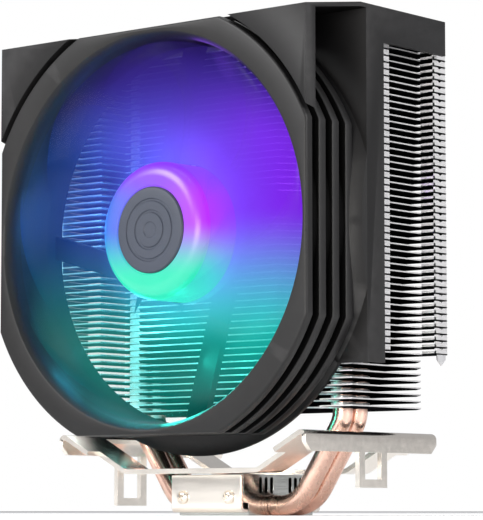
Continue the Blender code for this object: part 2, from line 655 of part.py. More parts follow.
def fan_outline_profile():
    """Frame profile: front flange, ribs, duct wall and inner bore."""
    points = [(MOUTH_RADIUS, 0.0), (FAN_RADIUS - FAN_EDGE, 0.0), (FAN_RADIUS, FAN_EDGE)]
    for rib in range(RIBS - 1):
        rear = rib * RIB_PITCH + RIB_THICKNESS
        following = (rib + 1) * RIB_PITCH
        points += [(FAN_RADIUS, rear), (DUCT_RADIUS, rear), (DUCT_RADIUS, following),
                   (FAN_RADIUS, following)]
    cone_radius = FAN_HALF + (LAST_RIB_REAR + COLLAR_RIB_GAP - COLLAR_START_DEPTH) / COLLAR_SLOPE
    points += [(FAN_RADIUS, LAST_RIB_REAR), (cone_radius, LAST_RIB_REAR),
               (DUCT_SEAT_RADIUS, collar_depth(DUCT_SEAT_RADIUS) - COLLAR_RIB_GAP),
               (DUCT_SEAT_RADIUS, LAST_RIB_REAR), (DUCT_RADIUS, LAST_RIB_REAR),
               (DUCT_RADIUS, FAN_DEPTH), (BORE_RADIUS, FAN_DEPTH),
               (BORE_RADIUS, BORE_STRAIGHT_DEPTH), (BORE_RADIUS + BORE_LIP, BORE_LIP_DEPTH)]
    return points


def square_rings(work, rings):
    """Skin a run of squares, each given as (half width, z)."""
    corners = ((1, 1), (-1, 1), (-1, -1), (1, -1))
    made = [[work.verts.new((x * half, y * half, z)) for x, y in corners] for half, z in rings]
    for near, far in zip(made, made[1:]):
        for i in range(4):
            work.faces.new((near[i], near[(i + 1) % 4], far[(i + 1) % 4], far[i]))
    work.faces.new(made[0])
    work.faces.new(made[-1])


def make_struts(fan_axis):
    start = Vector((STRUT_OFFSET, STRUT_ROOT - SEAT_RADIUS))
    end = Vector((0.0, -BORE_RADIUS - DUCT_WALL / 2.0))
    along = (end - start).normalized()
    across = Vector((-along.y, along.x)) * STRUT_WIDTH / 2.0
    bar = [start - across, end - across, end + across, start + across]
    bars = []
    for number in range(STRUTS):
        turn = Matrix.Rotation(number * 2.0 * math.pi / STRUTS, 2)
        bars.append([tuple(turn @ corner) for corner in bar])
    mesh = prism_mesh("struts", bars, JOIN - FAN_DEPTH, STRUT_THICKNESS - FAN_DEPTH)
    return add_object("struts", mesh, parent=fan_axis, tool=True)


def fan_screw_places():
    ring = FAN_SCREW_CIRCLE
    turns = [(number + 0.5) * 2.0 * math.pi / FAN_SCREWS for number in range(FAN_SCREWS)]
    return [(ring * math.cos(turn), ring * math.sin(turn)) for turn in turns]


def make_fan_frame(fan_axis):
    frame = turned("fan_frame", fan_outline_profile(), ROUND, CHARCOAL, fan_axis)
    work = bmesh.new()
    inner = FAN_HALF - FAN_EDGE
    square_rings(work, ((inner, JOIN), (inner, 0.0), (FAN_HALF, -FAN_EDGE), (FAN_HALF, -FAN_DEPTH - BEYOND)))
    square = add_object("frame_square", mesh_from("frame_square", work), parent=fan_axis, tool=True)
    combine(frame, square, "INTERSECT")
    relief = box_mesh("top_relief", (-FAN_HALF, FAN_HALF - TOP_RELIEF, -FAN_DEPTH - BEYOND),
                      (FAN_HALF, FAN_HALF + BEYOND, -RIB_THICKNESS - TOP_RELIEF_START))
    combine(frame, add_object("top_relief", relief, parent=fan_axis, tool=True))
    combine(frame, make_struts(fan_axis), "UNION")

    tube_front = BEARING_FRONT + BEARING_TUBE_SHORT
    floor = FAN_DEPTH - SEAT_FLOOR
    seat = turned("motor_seat", [(TUBE_INNER, tube_front), (TUBE_OUTER, tube_front),
                                 (TUBE_OUTER, SEAT_FRONT), (SEAT_RADIUS, SEAT_FRONT),
                                 (SEAT_RADIUS, FAN_DEPTH), (0.0, FAN_DEPTH),
                                 (0.0, floor), (TUBE_INNER, floor)],
                  MOTOR_ROUND, parent=fan_axis, tool=True)
    combine(frame, seat, "UNION")
    circles = [circle_points(FAN_SCREW_HOLE_RADIUS, HOLE_ROUND, place) for place in fan_screw_places()]
    pilots = prism_mesh("pilot_holes", circles, -LAST_RIB_REAR - BEYOND / 2.0, -LAST_RIB_FRONT + BEYOND / 2.0)
    combine(frame, add_object("pilot_holes", pilots, parent=fan_axis, tool=True))


def make_fan_screws(fan_axis):
    """Screws that go through the cover's bulkhead into the last rib."""
    length = BULKHEAD_REAR + FAN_SCREW_SEAT_GAP - LAST_RIB_FRONT
    profile = screw_profile(FAN_SCREW_HEAD_RADIUS, FAN_SCREW_HEAD_HEIGHT, FAN_SCREW_RADIUS, length)
    head_top = BULKHEAD_REAR + FAN_SCREW_SEAT_GAP + FAN_SCREW_HEAD_HEIGHT
    for number, place in enumerate(fan_screw_places()):
        name = "fan_screw_%d" % (number + 1)
        screw = turned(name, profile, SCREW_ROUND, BLACK_SCREW, fan_axis, closed=False)
        screw.location = (place[0], place[1], -head_top)
        screw.rotation_euler = (math.pi, 0.0, 0.0)
        smooth_round(screw)


# ---------------------------------------------------------------- impeller
def blade_point(span, chord, centre_angle):
    """Point on a blade's middle surface; span 0..1 from hub to tip, chord -0.5..0.5."""
    root = HUB_RADIUS - HUB_WALL * BLADE_ROOT_SINK
    radius = root + (BORE_RADIUS - BLADE_TIP_GAP - root) * span
    width = BLADE_HUB_CHORD + (BLADE_TIP_CHORD - BLADE_HUB_CHORD) * span
    pitch = BLADE_HUB_PITCH + (BLADE_TIP_PITCH - BLADE_HUB_PITCH) * span
    round_run = chord * width * math.cos(pitch)
    camber = BLADE_CAMBER * width * (1.0 - 4.0 * chord * chord)
    depth = BLADE_MID_DEPTH + chord * width * math.sin(pitch) - camber
    angle = centre_angle + BLADE_SWEEP * span * span + round_run / radius
    return Vector((radius * math.cos(angle), radius * math.sin(angle), -depth))


def make_blades(fan_axis):
    span_steps = 4
    chord_steps = 3
    work = bmesh.new()
    spans = [i / span_steps for i in range(span_steps + 1)]
    chords = [i / chord_steps - 0.5 for i in range(chord_steps + 1)]
    for blade in range(BLADES):
        centre = 2.0 * math.pi * blade / BLADES
        grid = [[work.verts.new(blade_point(s, c, centre)) for c in chords] for s in spans]
        for i in range(span_steps):
            for j in range(chord_steps):
                work.faces.new((grid[i][j], grid[i + 1][j], grid[i + 1][j + 1], grid[i][j + 1]))
    mesh = bpy.data.meshes.new("blades")
    work.to_mesh(mesh)
    work.free()
    blades = add_object("blades", mesh, parent=fan_axis, tool=True)
    sheet = blades.modifiers.new("Thickness", "SOLIDIFY")
    sheet.thickness = BLADE_THICKNESS
    sheet.offset = 0.0
    return blades


def make_impeller(fan_axis):
    """Hub cup, open at the rear, with the blades round it."""
    recess = CAP_RADIUS + GAP
    cut = HUB_EDGE * 0.3
    profile = [(0.0, CAP_SEAT), (recess, CAP_SEAT), (recess, HUB_FRONT),
               (HUB_RADIUS - HUB_EDGE, HUB_FRONT), (HUB_RADIUS - cut, HUB_FRONT + cut),
               (HUB_RADIUS, HUB_FRONT + HUB_EDGE), (HUB_RADIUS, HUB_REAR), (HUB_INNER, HUB_REAR),
               (HUB_INNER, CAP_SEAT + HUB_WALL), (0.0, CAP_SEAT + HUB_WALL)]
    impeller = turned("impeller", profile, HUB_ROUND, FROSTED, fan_axis, closed=False)
    combine(impeller, make_blades(fan_axis), "UNION")


def make_hub_cap(fan_axis):
    front = HUB_FRONT - CAP_PROUD
    rear = CAP_SEAT - GAP / 2.0
    profile = [(0.0, front), (CAP_RADIUS - CAP_EDGE, front), (CAP_RADIUS, front + GAP),
               (CAP_RADIUS, rear), (0.0, rear)]
    cap = turned("hub_cap", profile, HUB_ROUND, CAP, fan_axis, closed=False)
    smooth_round(cap)


# ---------------------------------------------------------------- motor
def ring(name, inner, outer, front, rear, steps, material, parent):
    """Plain ring about the fan's axis."""
    profile = [(inner, front), (outer, front), (outer, rear), (inner, rear)]
    return turned(name, profile, steps, material, parent, tool=material is None)


def make_rotor_inside(fan_axis):
    bore = SHAFT_RADIUS + GAP
    inner = YOKE_OUTER - YOKE_WALL
    floor = YOKE_FRONT + YOKE_WALL
    turned("rotor_yoke", [(bore, YOKE_FRONT), (YOKE_OUTER, YOKE_FRONT), (YOKE_OUTER, YOKE_REAR),
                          (inner, YOKE_REAR), (inner, floor), (bore, floor)],
           MOTOR_ROUND, STEEL, fan_axis)
    ring("magnet_ring", MAGNET_INNER, MAGNET_OUTER, CORE_FRONT - YOKE_PAST_CORE, YOKE_REAR,
         MOTOR_ROUND, MAGNET, fan_axis)
    front = YOKE_FRONT - GAP / 2.0
    waist = SHAFT_RADIUS - SHAFT_GROOVE_DEPTH
    turned("rotor_shaft", [(0.0, front), (SHAFT_RADIUS, front), (SHAFT_RADIUS, GROOVE_FRONT),
                           (waist, GROOVE_FRONT), (waist, GROOVE_REAR), (SHAFT_RADIUS, GROOVE_REAR),
                           (SHAFT_RADIUS, SHAFT_REAR), (0.0, SHAFT_REAR)],
           SMALL_ROUND, STEEL, fan_axis, closed=False)
    clip_front = GROOVE_FRONT + (SHAFT_GROOVE - CLIP_THICKNESS) / 2.0
    ring("retaining_clip", SHAFT_RADIUS - CLIP_IN_GROOVE, TUBE_INNER - CLIP_TUBE_GAP,
         clip_front, clip_front + CLIP_THICKNESS, SMALL_ROUND, CLIP_PLASTIC, fan_axis)


def make_stator_core(fan_axis):
    """Laminated ring with necks out to the pole tips."""
    bore = TUBE_OUTER + GAP
    tip_inner = CORE_OUTER - POLE_TIP
    core = ring("stator_core", bore, bore + CORE_RING, CORE_FRONT, CORE_REAR,
                MOTOR_ROUND, LAMINATION, fan_axis)
    tips = ring("pole_tips", tip_inner, CORE_OUTER, CORE_FRONT, CORE_REAR,
                MOTOR_ROUND, None, fan_axis)
    near = tip_inner / 2.0
    far = CORE_OUTER * 1.5
    wedges = []
    necks = []
    half = POLE_WIDTH / 2.0
    neck = [(bore + CORE_RING / 2.0, -half), (CORE_OUTER - POLE_TIP / 2.0, -half),
            (CORE_OUTER - POLE_TIP / 2.0, half), (bore + CORE_RING / 2.0, half)]
    for pole in range(POLES):
        start = pole * 2.0 * math.pi / POLES
        between = start + math.pi / POLES
        low_turn = between - POLE_GAP_HALF_TURN
        high_turn = between + POLE_GAP_HALF_TURN
        wedges.append([(radius * math.cos(turn), radius * math.sin(turn)) for radius, turn in
                       ((near, low_turn), (far, low_turn), (far, high_turn), (near, high_turn))])
        turn = Matrix.Rotation(start, 2)
        necks.append([tuple(turn @ Vector(corner)) for corner in neck])
    gaps = prism_mesh("pole_gaps", wedges, -CORE_REAR - BEYOND, -CORE_FRONT + BEYOND)
    combine(tips, add_object("pole_gaps", gaps, parent=fan_axis, tool=True))
    neck_mesh = prism_mesh("pole_necks", necks, -CORE_REAR + JOIN, -CORE_FRONT - JOIN)
    combine(core, add_object("pole_necks", neck_mesh, parent=fan_axis, tool=True), "UNION")
    combine(core, tips, "UNION")


def make_stator_coils(fan_axis):
    near = TUBE_OUTER + GAP + CORE_RING + GAP
    far = CORE_OUTER - POLE_TIP - 2.0 * GAP
    hole = POLE_WIDTH / 2.0 + GAP
    low = -CORE_REAR - GAP
    high = -CORE_FRONT + GAP
    side = hole + COIL_SIDE
    for pole in range(POLES):
        name = "stator_coil_%d" % (pole + 1)
        body = box_mesh(name, (near, -side, low - COIL_END), (far, side, high + COIL_END))
        coil = add_object(name, body, WINDING, fan_axis)
        passage = box_mesh(name + "_passage", (near - BEYOND, -hole, low), (far + BEYOND, hole, high))
        tool = add_object(name + "_passage", passage, parent=fan_axis, tool=True)
        for item in (coil, tool):
            item.rotation_euler = (0.0, 0.0, pole * 2.0 * math.pi / POLES)
        combine(coil, tool)


def make_driver_board(fan_axis):
    ring("driver_board", TUBE_OUTER + GAP, BOARD_RADIUS, BOARD_FRONT, BOARD_REAR,
         MOTOR_ROUND, BOARD, fan_axis)
    outer = BOARD_RADIUS - LED_EDGE_GAP
    foot = LED_BOARD_GAP - BOARD_FRONT
    half = LED_SIZE / 2.0
    for number in range(LEDS):
        name = "led_%d" % (number + 1)
        lens = box_mesh(name, (outer - LED_SIZE, -half, foot), (outer, half, foot + LED_HEIGHT))
        led = add_object(name, lens, LED_WHITE, fan_axis)
        led.rotation_euler = (0.0, 0.0, (number + 0.5) * 2.0 * math.pi / LEDS)


def make_motor(fan_axis):
    make_rotor_inside(fan_axis)
    ring("bearing_sleeve", SLEEVE_INNER, SLEEVE_OUTER, BEARING_FRONT,
         GROOVE_FRONT - BEARING_GROOVE_GAP, SMALL_ROUND, BRASS, fan_axis)
    make_stator_core(fan_axis)
    make_stator_coils(fan_axis)
    make_driver_board(fan_axis)


# ---------------------------------------------------------------- cover
def flare_mesh(name, inset_side, inset_top, bottom, front, rear):
    """Flared box in fan axes: fan-sized at the front, wider from the flare's end to the rear."""
    depths = [front, rear]
    if front < COVER_FLARE_DEPTH:
        depths.insert(1, COVER_FLARE_DEPTH)
    work = bmesh.new()
    rings = []
    for depth in depths:
        reach = FAN_HALF + COVER_FLARE * min(depth / COVER_FLARE_DEPTH, 1.0)
        side = reach - inset_side
        top = reach - inset_top
        corners = ((-side, -bottom), (side, -bottom), (side, top), (-side, top))
        rings.append([work.verts.new((x, y, -depth)) for x, y in corners])
    for near, far in zip(rings, rings[1:]):
        for i in range(4):
            work.faces.new((near[i], near[(i + 1) % 4], far[(i + 1) % 4], far[i]))
    work.faces.new(rings[0])
    work.faces.new(rings[-1])
    return mesh_from(name, work)


def make_collar(fan_axis):
    """Cone that meets the fan's last rib, then a plain ring round its duct."""
    rim = FAN_RADIUS - COLLAR_RIM
    inner = DUCT_SEAT_RADIUS + GAP
    bore = DUCT_RADIUS + DUCT_HOLE_GAP
    step = LAST_RIB_REAR + GAP
    rear = BULKHEAD_REAR - JOIN
    collar = turned("collar", [(inner, collar_depth(inner)), (rim, collar_depth(rim)), (rim, rear),
                               (bore, rear), (bore, step), (inner, step)],
                    ROUND, parent=fan_axis, tool=True)
    side = FAN_HALF + COVER_FLARE
    trim = box_mesh("collar_trim", (-side, -FAN_RADIUS - BEYOND, -BULKHEAD_REAR - BEYOND),
                    (side, side - COVER_WALL / 2.0, -COVER_FRONT_PLATE))
    combine(collar, add_object("collar_trim", trim, parent=fan_axis, tool=True), "INTERSECT")
    return collar


def make_cover(fan_axis):
    half = FAN_HALF + COVER_FLARE + BEYOND
    below = COVER_BOTTOM + BEYOND
    step = LAST_RIB_REAR + GAP
    side_way = COVER_FRONT_PLATE + COVER_FLARE
    bore = circle_points(DUCT_RADIUS + DUCT_HOLE_GAP - JOIN, ROUND)
    corner_arc = circle_points(FAN_RADIUS + CORNER_GROOVE, ROUND)
    screw_circles = [circle_points(FAN_SCREW_HOLE_RADIUS, HOLE_ROUND, place) for place in fan_screw_places()]
    shell = flare_mesh("cover_shell", 0.0, 0.0, COVER_BOTTOM, 0.0, COVER_DEPTH)
    cover = add_object("cover_shell", shell, CHARCOAL, fan_axis)

    def cut(name, mesh):
        combine(cover, add_object(name, mesh, parent=fan_axis, tool=True))

    # Bay for the fan, open at both sides, between the corner pieces and the bulkhead
    cut("front_bay", flare_mesh("front_bay", -side_way, COVER_WALL, below, COVER_FRONT_PLATE, COVER_BULKHEAD))
    # Bay for the fins, open at the rear and the bottom
    cut("fin_bay", flare_mesh("fin_bay", COVER_WALL, COVER_WALL, below, BULKHEAD_REAR, COVER_DEPTH + BEYOND))
    cut("side_windows", box_mesh("side_windows", (-half, -below, -COVER_DEPTH - BEYOND),
                                 (half, COVER_WINDOW_TOP, -COVER_BAND_REAR)))
    # Only the two top corners of the front plate stay
    cut("front_lower", box_mesh("front_lower", (-half, -below, -COVER_FRONT_PLATE - JOIN),
                                (half, CORNER_PLATE_BOTTOM, BEYOND)))
    cut("flange_clearance", prism_mesh("flange_clearance", [corner_arc], -COVER_FRONT_PLATE - BEYOND, BEYOND))
    cut("duct_hole", prism_mesh("duct_hole", [bore], -BULKHEAD_REAR - BEYOND, -step))
    combine(cover, make_collar(fan_axis), "UNION")
    cut("fan_screw_holes", prism_mesh("fan_screw_holes", screw_circles, -BULKHEAD_REAR - BEYOND,
                                      -LAST_RIB_REAR + BEYOND / 2.0))


# ---------------------------------------------------------------- assembly
def main():
    make_base_block()
    make_base_clamp("base_clamp_front", -1)
    make_base_clamp("base_clamp_rear", 1)
    make_clamp_screws()
    make_mounting_clip()
    for place, y in pipe_positions().items():
        make_heat_pipe("heat_pipe_" + place, y)
    make_fins()

    fan_axis = bpy.data.objects.new("fan_axis", None)
    PARTS.objects.link(fan_axis)
    fan_axis.location = (0.0, FAN_FRONT_Y, FAN_Z)
    fan_axis.rotation_euler = (math.pi / 2.0, 0.0, 0.0)
    make_fan_frame(fan_axis)
    make_fan_screws(fan_axis)
    make_impeller(fan_axis)
    make_hub_cap(fan_axis)
    make_motor(fan_axis)
    make_cover(fan_axis)


main()
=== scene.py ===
"""Looks of a cpu tower cooler: smooth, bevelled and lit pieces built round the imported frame.

Laid out as an add-on, and run as a script. Metres, +Z up; the fan faces -Y.
"""
import math

import bmesh
import bpy
from bpy.props import FloatProperty, FloatVectorProperty, IntProperty, PointerProperty
from bpy.types import Operator, Panel, PropertyGroup
from mathutils import Matrix, Vector


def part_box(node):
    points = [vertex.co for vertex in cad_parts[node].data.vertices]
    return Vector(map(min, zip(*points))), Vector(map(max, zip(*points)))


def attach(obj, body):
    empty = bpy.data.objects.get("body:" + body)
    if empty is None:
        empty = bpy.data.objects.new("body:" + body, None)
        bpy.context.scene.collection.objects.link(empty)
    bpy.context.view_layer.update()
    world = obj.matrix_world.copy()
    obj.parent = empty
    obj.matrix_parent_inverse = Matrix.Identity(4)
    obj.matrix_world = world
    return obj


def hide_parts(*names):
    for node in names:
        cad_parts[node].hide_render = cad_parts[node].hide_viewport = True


bl_info = {
    "name": "CPU Tower Cooler",
    "version": (1, 0, 0),
    "blender": (4, 5, 0),
    "location": "View3D > Sidebar > Cooler",
    "description": "Builds the smooth, lit pieces of a cpu tower cooler round its packed frame",
    "category": "Add Mesh",
}

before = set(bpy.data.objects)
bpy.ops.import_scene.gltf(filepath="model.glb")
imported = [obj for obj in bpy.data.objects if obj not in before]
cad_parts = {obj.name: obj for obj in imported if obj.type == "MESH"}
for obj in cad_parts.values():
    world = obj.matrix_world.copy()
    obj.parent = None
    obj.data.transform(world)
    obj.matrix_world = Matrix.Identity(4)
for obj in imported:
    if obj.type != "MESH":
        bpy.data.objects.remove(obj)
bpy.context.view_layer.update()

MM = 0.001
TOWER = "tower"
ROTOR = "rotor"

# Lengths and turns too small to matter
HAIR = 0.01 * MM
NO_LENGTH = 1e-7
NO_TURN = 1e-3

BLACK = (0.0, 0.0, 0.0)
GREY = (0.5, 0.5, 0.5, 1.0)
WORN_PLASTIC = (0.03, 0.029, 0.03)
WORN_NICKEL = (0.95, 0.90, 0.82)


# ---------------------------------------------------------------- places taken from the frame
def box_of(node):
    low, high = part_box(node)
    return Vector(low), Vector(high)


FRAME_LOW, FRAME_HIGH = box_of("fan_frame")
COVER_LOW, COVER_HIGH = box_of("cover_shell")
UPPER_LOW, UPPER_HIGH = box_of("upper_fin_stack")
LOWER_LOW, LOWER_HIGH = box_of("lower_fin_stack")
PIPE_LOW, PIPE_HIGH = box_of("heat_pipe_front")
BLOCK_HIGH = box_of("base_block")[1]
CLIP_HIGH = box_of("mounting_clip")[1]

FAN_FRONT_Y = FRAME_LOW.y
FAN_DEPTH = FRAME_HIGH.y - FRAME_LOW.y
FAN_HALF = FRAME_HIGH.x
FAN_Z = FRAME_LOW.z + FAN_HALF
COVER_DEPTH = COVER_HIGH.y - COVER_LOW.y
COVER_HALF = COVER_HIGH.x
FIN_FRONT_Y = UPPER_LOW.y
FIN_REAR_Y = UPPER_HIGH.y
FIN_EAR_X = UPPER_HIGH.x
FIN_WAIST_X = LOWER_HIGH.x
PIPE_RADIUS = (PIPE_HIGH.y - PIPE_LOW.y) / 2.0
PIPE_Y = -(PIPE_HIGH.y + PIPE_LOW.y) / 2.0
PIPE_LEG_X = PIPE_HIGH.x - PIPE_RADIUS
PIPE_TOP_Z = PIPE_HIGH.z
BLOCK_HALF_X = BLOCK_HIGH.x
BLOCK_HALF_Y = BLOCK_HIGH.y
BLOCK_HEIGHT = BLOCK_HIGH.z
CAP_RADIUS = box_of("hub_cap")[1].x
CLIP_REST_Z = BLOCK_HEIGHT + 0.3 * MM
STRUT_THICKNESS = 2.6 * MM


# ---------------------------------------------------------------- what a user may change
def length(name, text, default):
    return FloatProperty(name=name, description=text, default=default, unit="LENGTH", precision=5)


def colour(name, text, default):
    return FloatVectorProperty(name=name, description=text, default=default, subtype="COLOR",
                               size=3, min=0.0, max=1.0)


class CoolerSizes(PropertyGroup):
    """Sizes of the fine shapes that the visible pieces carry."""
    edge_round: length("Edge rounding", "Rounding of the moulded edges", 0.5 * MM)
    metal_round: length("Metal rounding", "Rounding of the metal edges", 0.25 * MM)
    corner_reach: length("Round outline", "How far the fan's round outline passes its flats", 6.1 * MM)
    mouth_rim: length("Mouth rim", "Least width of the fan's front flange", 1.0 * MM)
    bore_inset: length("Bore inset", "From the fan's flats to its bore", 3.0 * MM)
    rib_pitch: length("Rib pitch", "From one rib of the frame to the next", 6.1 * MM)
    rib_thickness: length("Rib thickness", "Thickness of the frame's ribs", 3.05 * MM)
    ribs: IntProperty(name="Ribs", description="Ribs round the fan frame", default=4, min=1)
    duct_wall: length("Duct wall", "Wall of the duct between the ribs", 1.9 * MM)
    hub_radius: length("Hub radius", "Outer radius of the fan's hub", 20.5 * MM)
    hub_front: length("Hub depth", "From the fan's front face to the hub's face", 1.8 * MM)
    blades: IntProperty(name="Blades", description="Blades of the fan", default=9, min=3)
    blade_thickness: length("Blade thickness", "Thickness of a blade", 0.8 * MM)
    fin_thickness: length("Fin thickness", "Thickness of a fin's sheet", 0.4 * MM)
    fin_pitch: length("Fin pitch", "From one fin to the next", 2.0 * MM)
    tab_gap: length("Tab gap", "Dark joint between the folded tabs of two fins", 0.10 * MM)
    cover_wall: length("Cover wall", "Wall of the cover", 1.3 * MM)
    cover_flare: length("Cover flare", "How much wider the cover is behind the fan", 3.0 * MM)
    flare_depth: length("Flare depth", "Depth at which the cover stops widening", 21.6 * MM)
    front_plate: length("Corner plate", "Thickness of the two front corner plates", 3.8 * MM)
    clip_sheet: length("Clip sheet", "Sheet of the mounting clip", 1.4 * MM)


class CoolerColours(PropertyGroup):
    """Colours of the finishes."""
    charcoal: colour("Charcoal", "Moulded cover and fan frame", (0.0050, 0.0047, 0.0050))
    aluminium: colour("Aluminium", "Edges of the fins", (0.90, 0.89, 0.90))
    # Painted shade: colour of the flat fin faces deep between the fins
    fin_painted_shade: colour("Fin shade", "Flat faces deep between the fins", (0.006, 0.006, 0.007))
    copper: colour("Copper", "Heat pipes", (0.93, 0.64, 0.53))
    nickel: colour("Nickel", "Clip, clamps and screws", (0.97, 0.90, 0.82))
    block: colour("Block", "Base block", (0.55, 0.56, 0.53))
    glow_left: colour("Glow left", "Light on the left of the fan", (0.03, 0.17, 0.85))
    glow_top: colour("Glow top", "Light at the top of the fan", (0.045, 0.022, 0.28))
    glow_right: colour("Glow right", "Light on the right of the fan", (0.24, 0.02, 0.95))
    glow_bottom: colour("Glow bottom", "Light at the bottom of the fan", (0.02, 0.78, 0.66))


# ---------------------------------------------------------------- mesh helpers
def mesh_from(name, work, recalculate=True):
    if recalculate:
        bmesh.ops.recalc_face_normals(work, faces=work.faces)
    mesh = bpy.data.meshes.new(name)
    work.to_mesh(mesh)
    work.free()
    return mesh


def put_at_fan(item):
    """Set an object made in the fan's axes at the fan, facing the front."""
    item.location = (0.0, FAN_FRONT_Y, FAN_Z)
    item.rotation_euler = (math.pi / 2.0, 0.0, 0.0)


def add_piece(name, mesh, body, material, replaced, at_fan=False, smooth=30.0):
    """Put a visible piece in the scene, riding on a body and standing for CAD nodes."""
    item = add_object(name, mesh, at_fan)
    mesh.materials.append(material)
    mesh.shade_smooth()
    mesh.set_sharp_from_angle(angle=math.radians(smooth))
    bpy.context.view_layer.update()
    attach(item, body)
    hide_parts(*replaced)
    return item


def add_object(name, mesh, at_fan=False):
    item = bpy.data.objects.new(name, mesh)
    bpy.context.scene.collection.objects.link(item)
    if at_fan:
        put_at_fan(item)
    return item


def combined(name, mesh, steps, at_fan=False, rounding=0.0):
    """Mesh of a solid, its edges rounded where asked, after a run of (operation, mesh) steps."""
    base = add_object(name + "_base", mesh, at_fan)
    if rounding:
        soften(base, rounding, 3, 28.0)
    tools = []
    for number, (operation, tool_mesh) in enumerate(steps):
        tool = add_object("%s_tool_%d" % (name, number), tool_mesh, at_fan)
        tools.append(tool)
        step = base.modifiers.new(operation, "BOOLEAN")
        step.operation = operation
        step.solver = "EXACT"
        step.object = tool
    bpy.context.view_layer.update()
    graph = bpy.context.evaluated_depsgraph_get()
    made = bpy.data.meshes.new_from_object(base.evaluated_get(graph), depsgraph=graph)
    made.name = name
    for item in [base] + tools:
        bpy.data.objects.remove(item, do_unlink=True)
    return made


def along_axis(axis, u, v, w):
    """Point (u, v) of an outline, at w along the axis that it is thick in."""
    return {"X": (w, u, v), "Y": (u, w, v), "Z": (u, v, w)}[axis]


def soften(item, width, segments=2, angle=35.0):
    """Round the sharp edges of a piece."""
    bevel = item.modifiers.new("Edge rounding", "BEVEL")
    bevel.width = width
    bevel.segments = segments
    bevel.limit_method = "ANGLE"
    bevel.angle_limit = math.radians(angle)
    bevel.use_clamp_overlap = True
    bevel.harden_normals = True


def circle_points(radius, sides, centre=(0.0, 0.0)):
    step = 2.0 * math.pi / sides
    return [(centre[0] + radius * math.cos(i * step), centre[1] + radius * math.sin(i * step))
            for i in range(sides)]


def prism_mesh(name, outlines, low, high, axis="Z"):
    work = bmesh.new()
    for outline in outlines:
        face = work.faces.new([work.verts.new(along_axis(axis, u, v, low)) for u, v in outline])
        extrude(work, [face], along_axis(axis, 0.0, 0.0, high - low))
    return mesh_from(name, work)


def extrude(work, faces, shift):
    grown = bmesh.ops.extrude_face_region(work, geom=faces)
    moved = [made for made in grown["geom"] if isinstance(made, bmesh.types.BMVert)]
    bmesh.ops.translate(work, vec=shift, verts=moved)


def join_rings(work, rings):
    """Faces from each ring of vertices to the next."""
    for near, far in zip(rings, rings[1:]):
        count = len(near)
        for i in range(count):
            j = (i + 1) % count
            work.faces.new((near[i], near[j], far[j], far[i]))


def join_profiles(work, profiles):
    """Faces from each closed profile to the next, all the way round an axis."""
    for near, far in zip(profiles, profiles[1:] + profiles[:1]):
        count = len(near)
        for i in range(count):
            j = (i + 1) % count
            work.faces.new((near[i], far[i], far[j], near[j]))


def box_mesh(name, low, high):
    outline = [(low[0], low[1]), (high[0], low[1]), (high[0], high[1]), (low[0], high[1])]
    return prism_mesh(name, [outline], low[2], high[2])


def turned_mesh(name, profile, steps):
    """Turn a closed (radius, depth) outline about the fan's axis."""
    work = bmesh.new()
    profiles = []
    for step in range(steps):
        turn = 2.0 * math.pi * step / steps
        profiles.append([work.verts.new((r * math.cos(turn), r * math.sin(turn), -d)) for r, d in profile])
    join_profiles(work, profiles)
    bmesh.ops.remove_doubles(work, verts=work.verts, dist=NO_LENGTH)
    return mesh_from(name, work)


def corner_arc(start, into, out, bend, steps):
    """Arc that leaves start along one direction and ends along the other."""
    turn = into.angle(out)
    side = (out - into * into.dot(out)).normalized()
    centre = start + side * bend
    angles = [turn * step / steps for step in range(steps + 1)]
    return [centre - side * bend * math.cos(angle) + into * bend * math.sin(angle) for angle in angles]


def rounded_outline(points, radius, steps=3):
    """Closed outline with each corner replaced by an arc; radius may be one per corner."""
    longest_share = 0.45
    made = []
    count = len(points)
    for index in range(count):
        here = Vector(points[index])
        into = here - Vector(points[index - 1])
        out = Vector(points[(index + 1) % count]) - here
        bend = radius[index] if isinstance(radius, (list, tuple)) else radius
        limit = min(into.length, out.length) * longest_share
        into.normalize()
        out.normalize()
        turn = into.angle(out)
        run = min(bend * math.tan(turn / 2.0), limit)
        if run < NO_LENGTH or turn < NO_TURN:
            made.append(tuple(here))
            continue
        bend = run / math.tan(turn / 2.0)
        made += [tuple(point) for point in corner_arc(here - into * run, into, out, bend, steps)]
    return made


def rounded_path(corners, steps):
    """Points along straight runs joined by arcs; each corner is (point, bend radius)."""
    points = [Vector(corners[0][0])]
    for index in range(1, len(corners) - 1):
        before, here, after = (Vector(corners[index + k][0]) for k in (-1, 0, 1))
        bend = corners[index][1]
        into = (here - before).normalized()
        out = (after - here).normalized()
        start = here - into * bend * math.tan(into.angle(out) / 2.0)
        points += corner_arc(start, into, out, bend, steps)
    points.append(Vector(corners[-1][0]))
    return points


# ---------------------------------------------------------------- shader helpers
def new_group(name, inputs):
    """A shader node group with an input for each named default; returns it and what it is given."""
    kinds = {3: "NodeSocketVector", 4: "NodeSocketColor"}
    group = bpy.data.node_groups.new(name, "ShaderNodeTree")
    for socket_name, default in inputs.items():
        kind = "NodeSocketFloat" if isinstance(default, float) else kinds[len(default)]
        socket = group.interface.new_socket(name=socket_name, in_out="INPUT", socket_type=kind)
        socket.default_value = default
    return group, group.nodes.new("NodeGroupInput").outputs


def close_group(group, made):
    """Give a group an output for each named result, and link them."""
    for name, result in made.items():
        kind = "NodeSocketFloat" if result.type == "VALUE" else "NodeSocketColor"
        group.interface.new_socket(name=name, in_out="OUTPUT", socket_type=kind)
    end = group.nodes.new("NodeGroupOutput")
    for name, result in made.items():
        group.links.new(result, end.inputs[name])
    return group


def feed(tree, socket, value):
    """Link a socket to a result, or set its value; a colour gets an alpha of one."""
    if isinstance(value, bpy.types.NodeSocket):
        tree.links.new(value, socket)
    elif socket.type == "RGBA":
        socket.default_value = (*value[:3], 1.0)
    else:
        socket.default_value = value


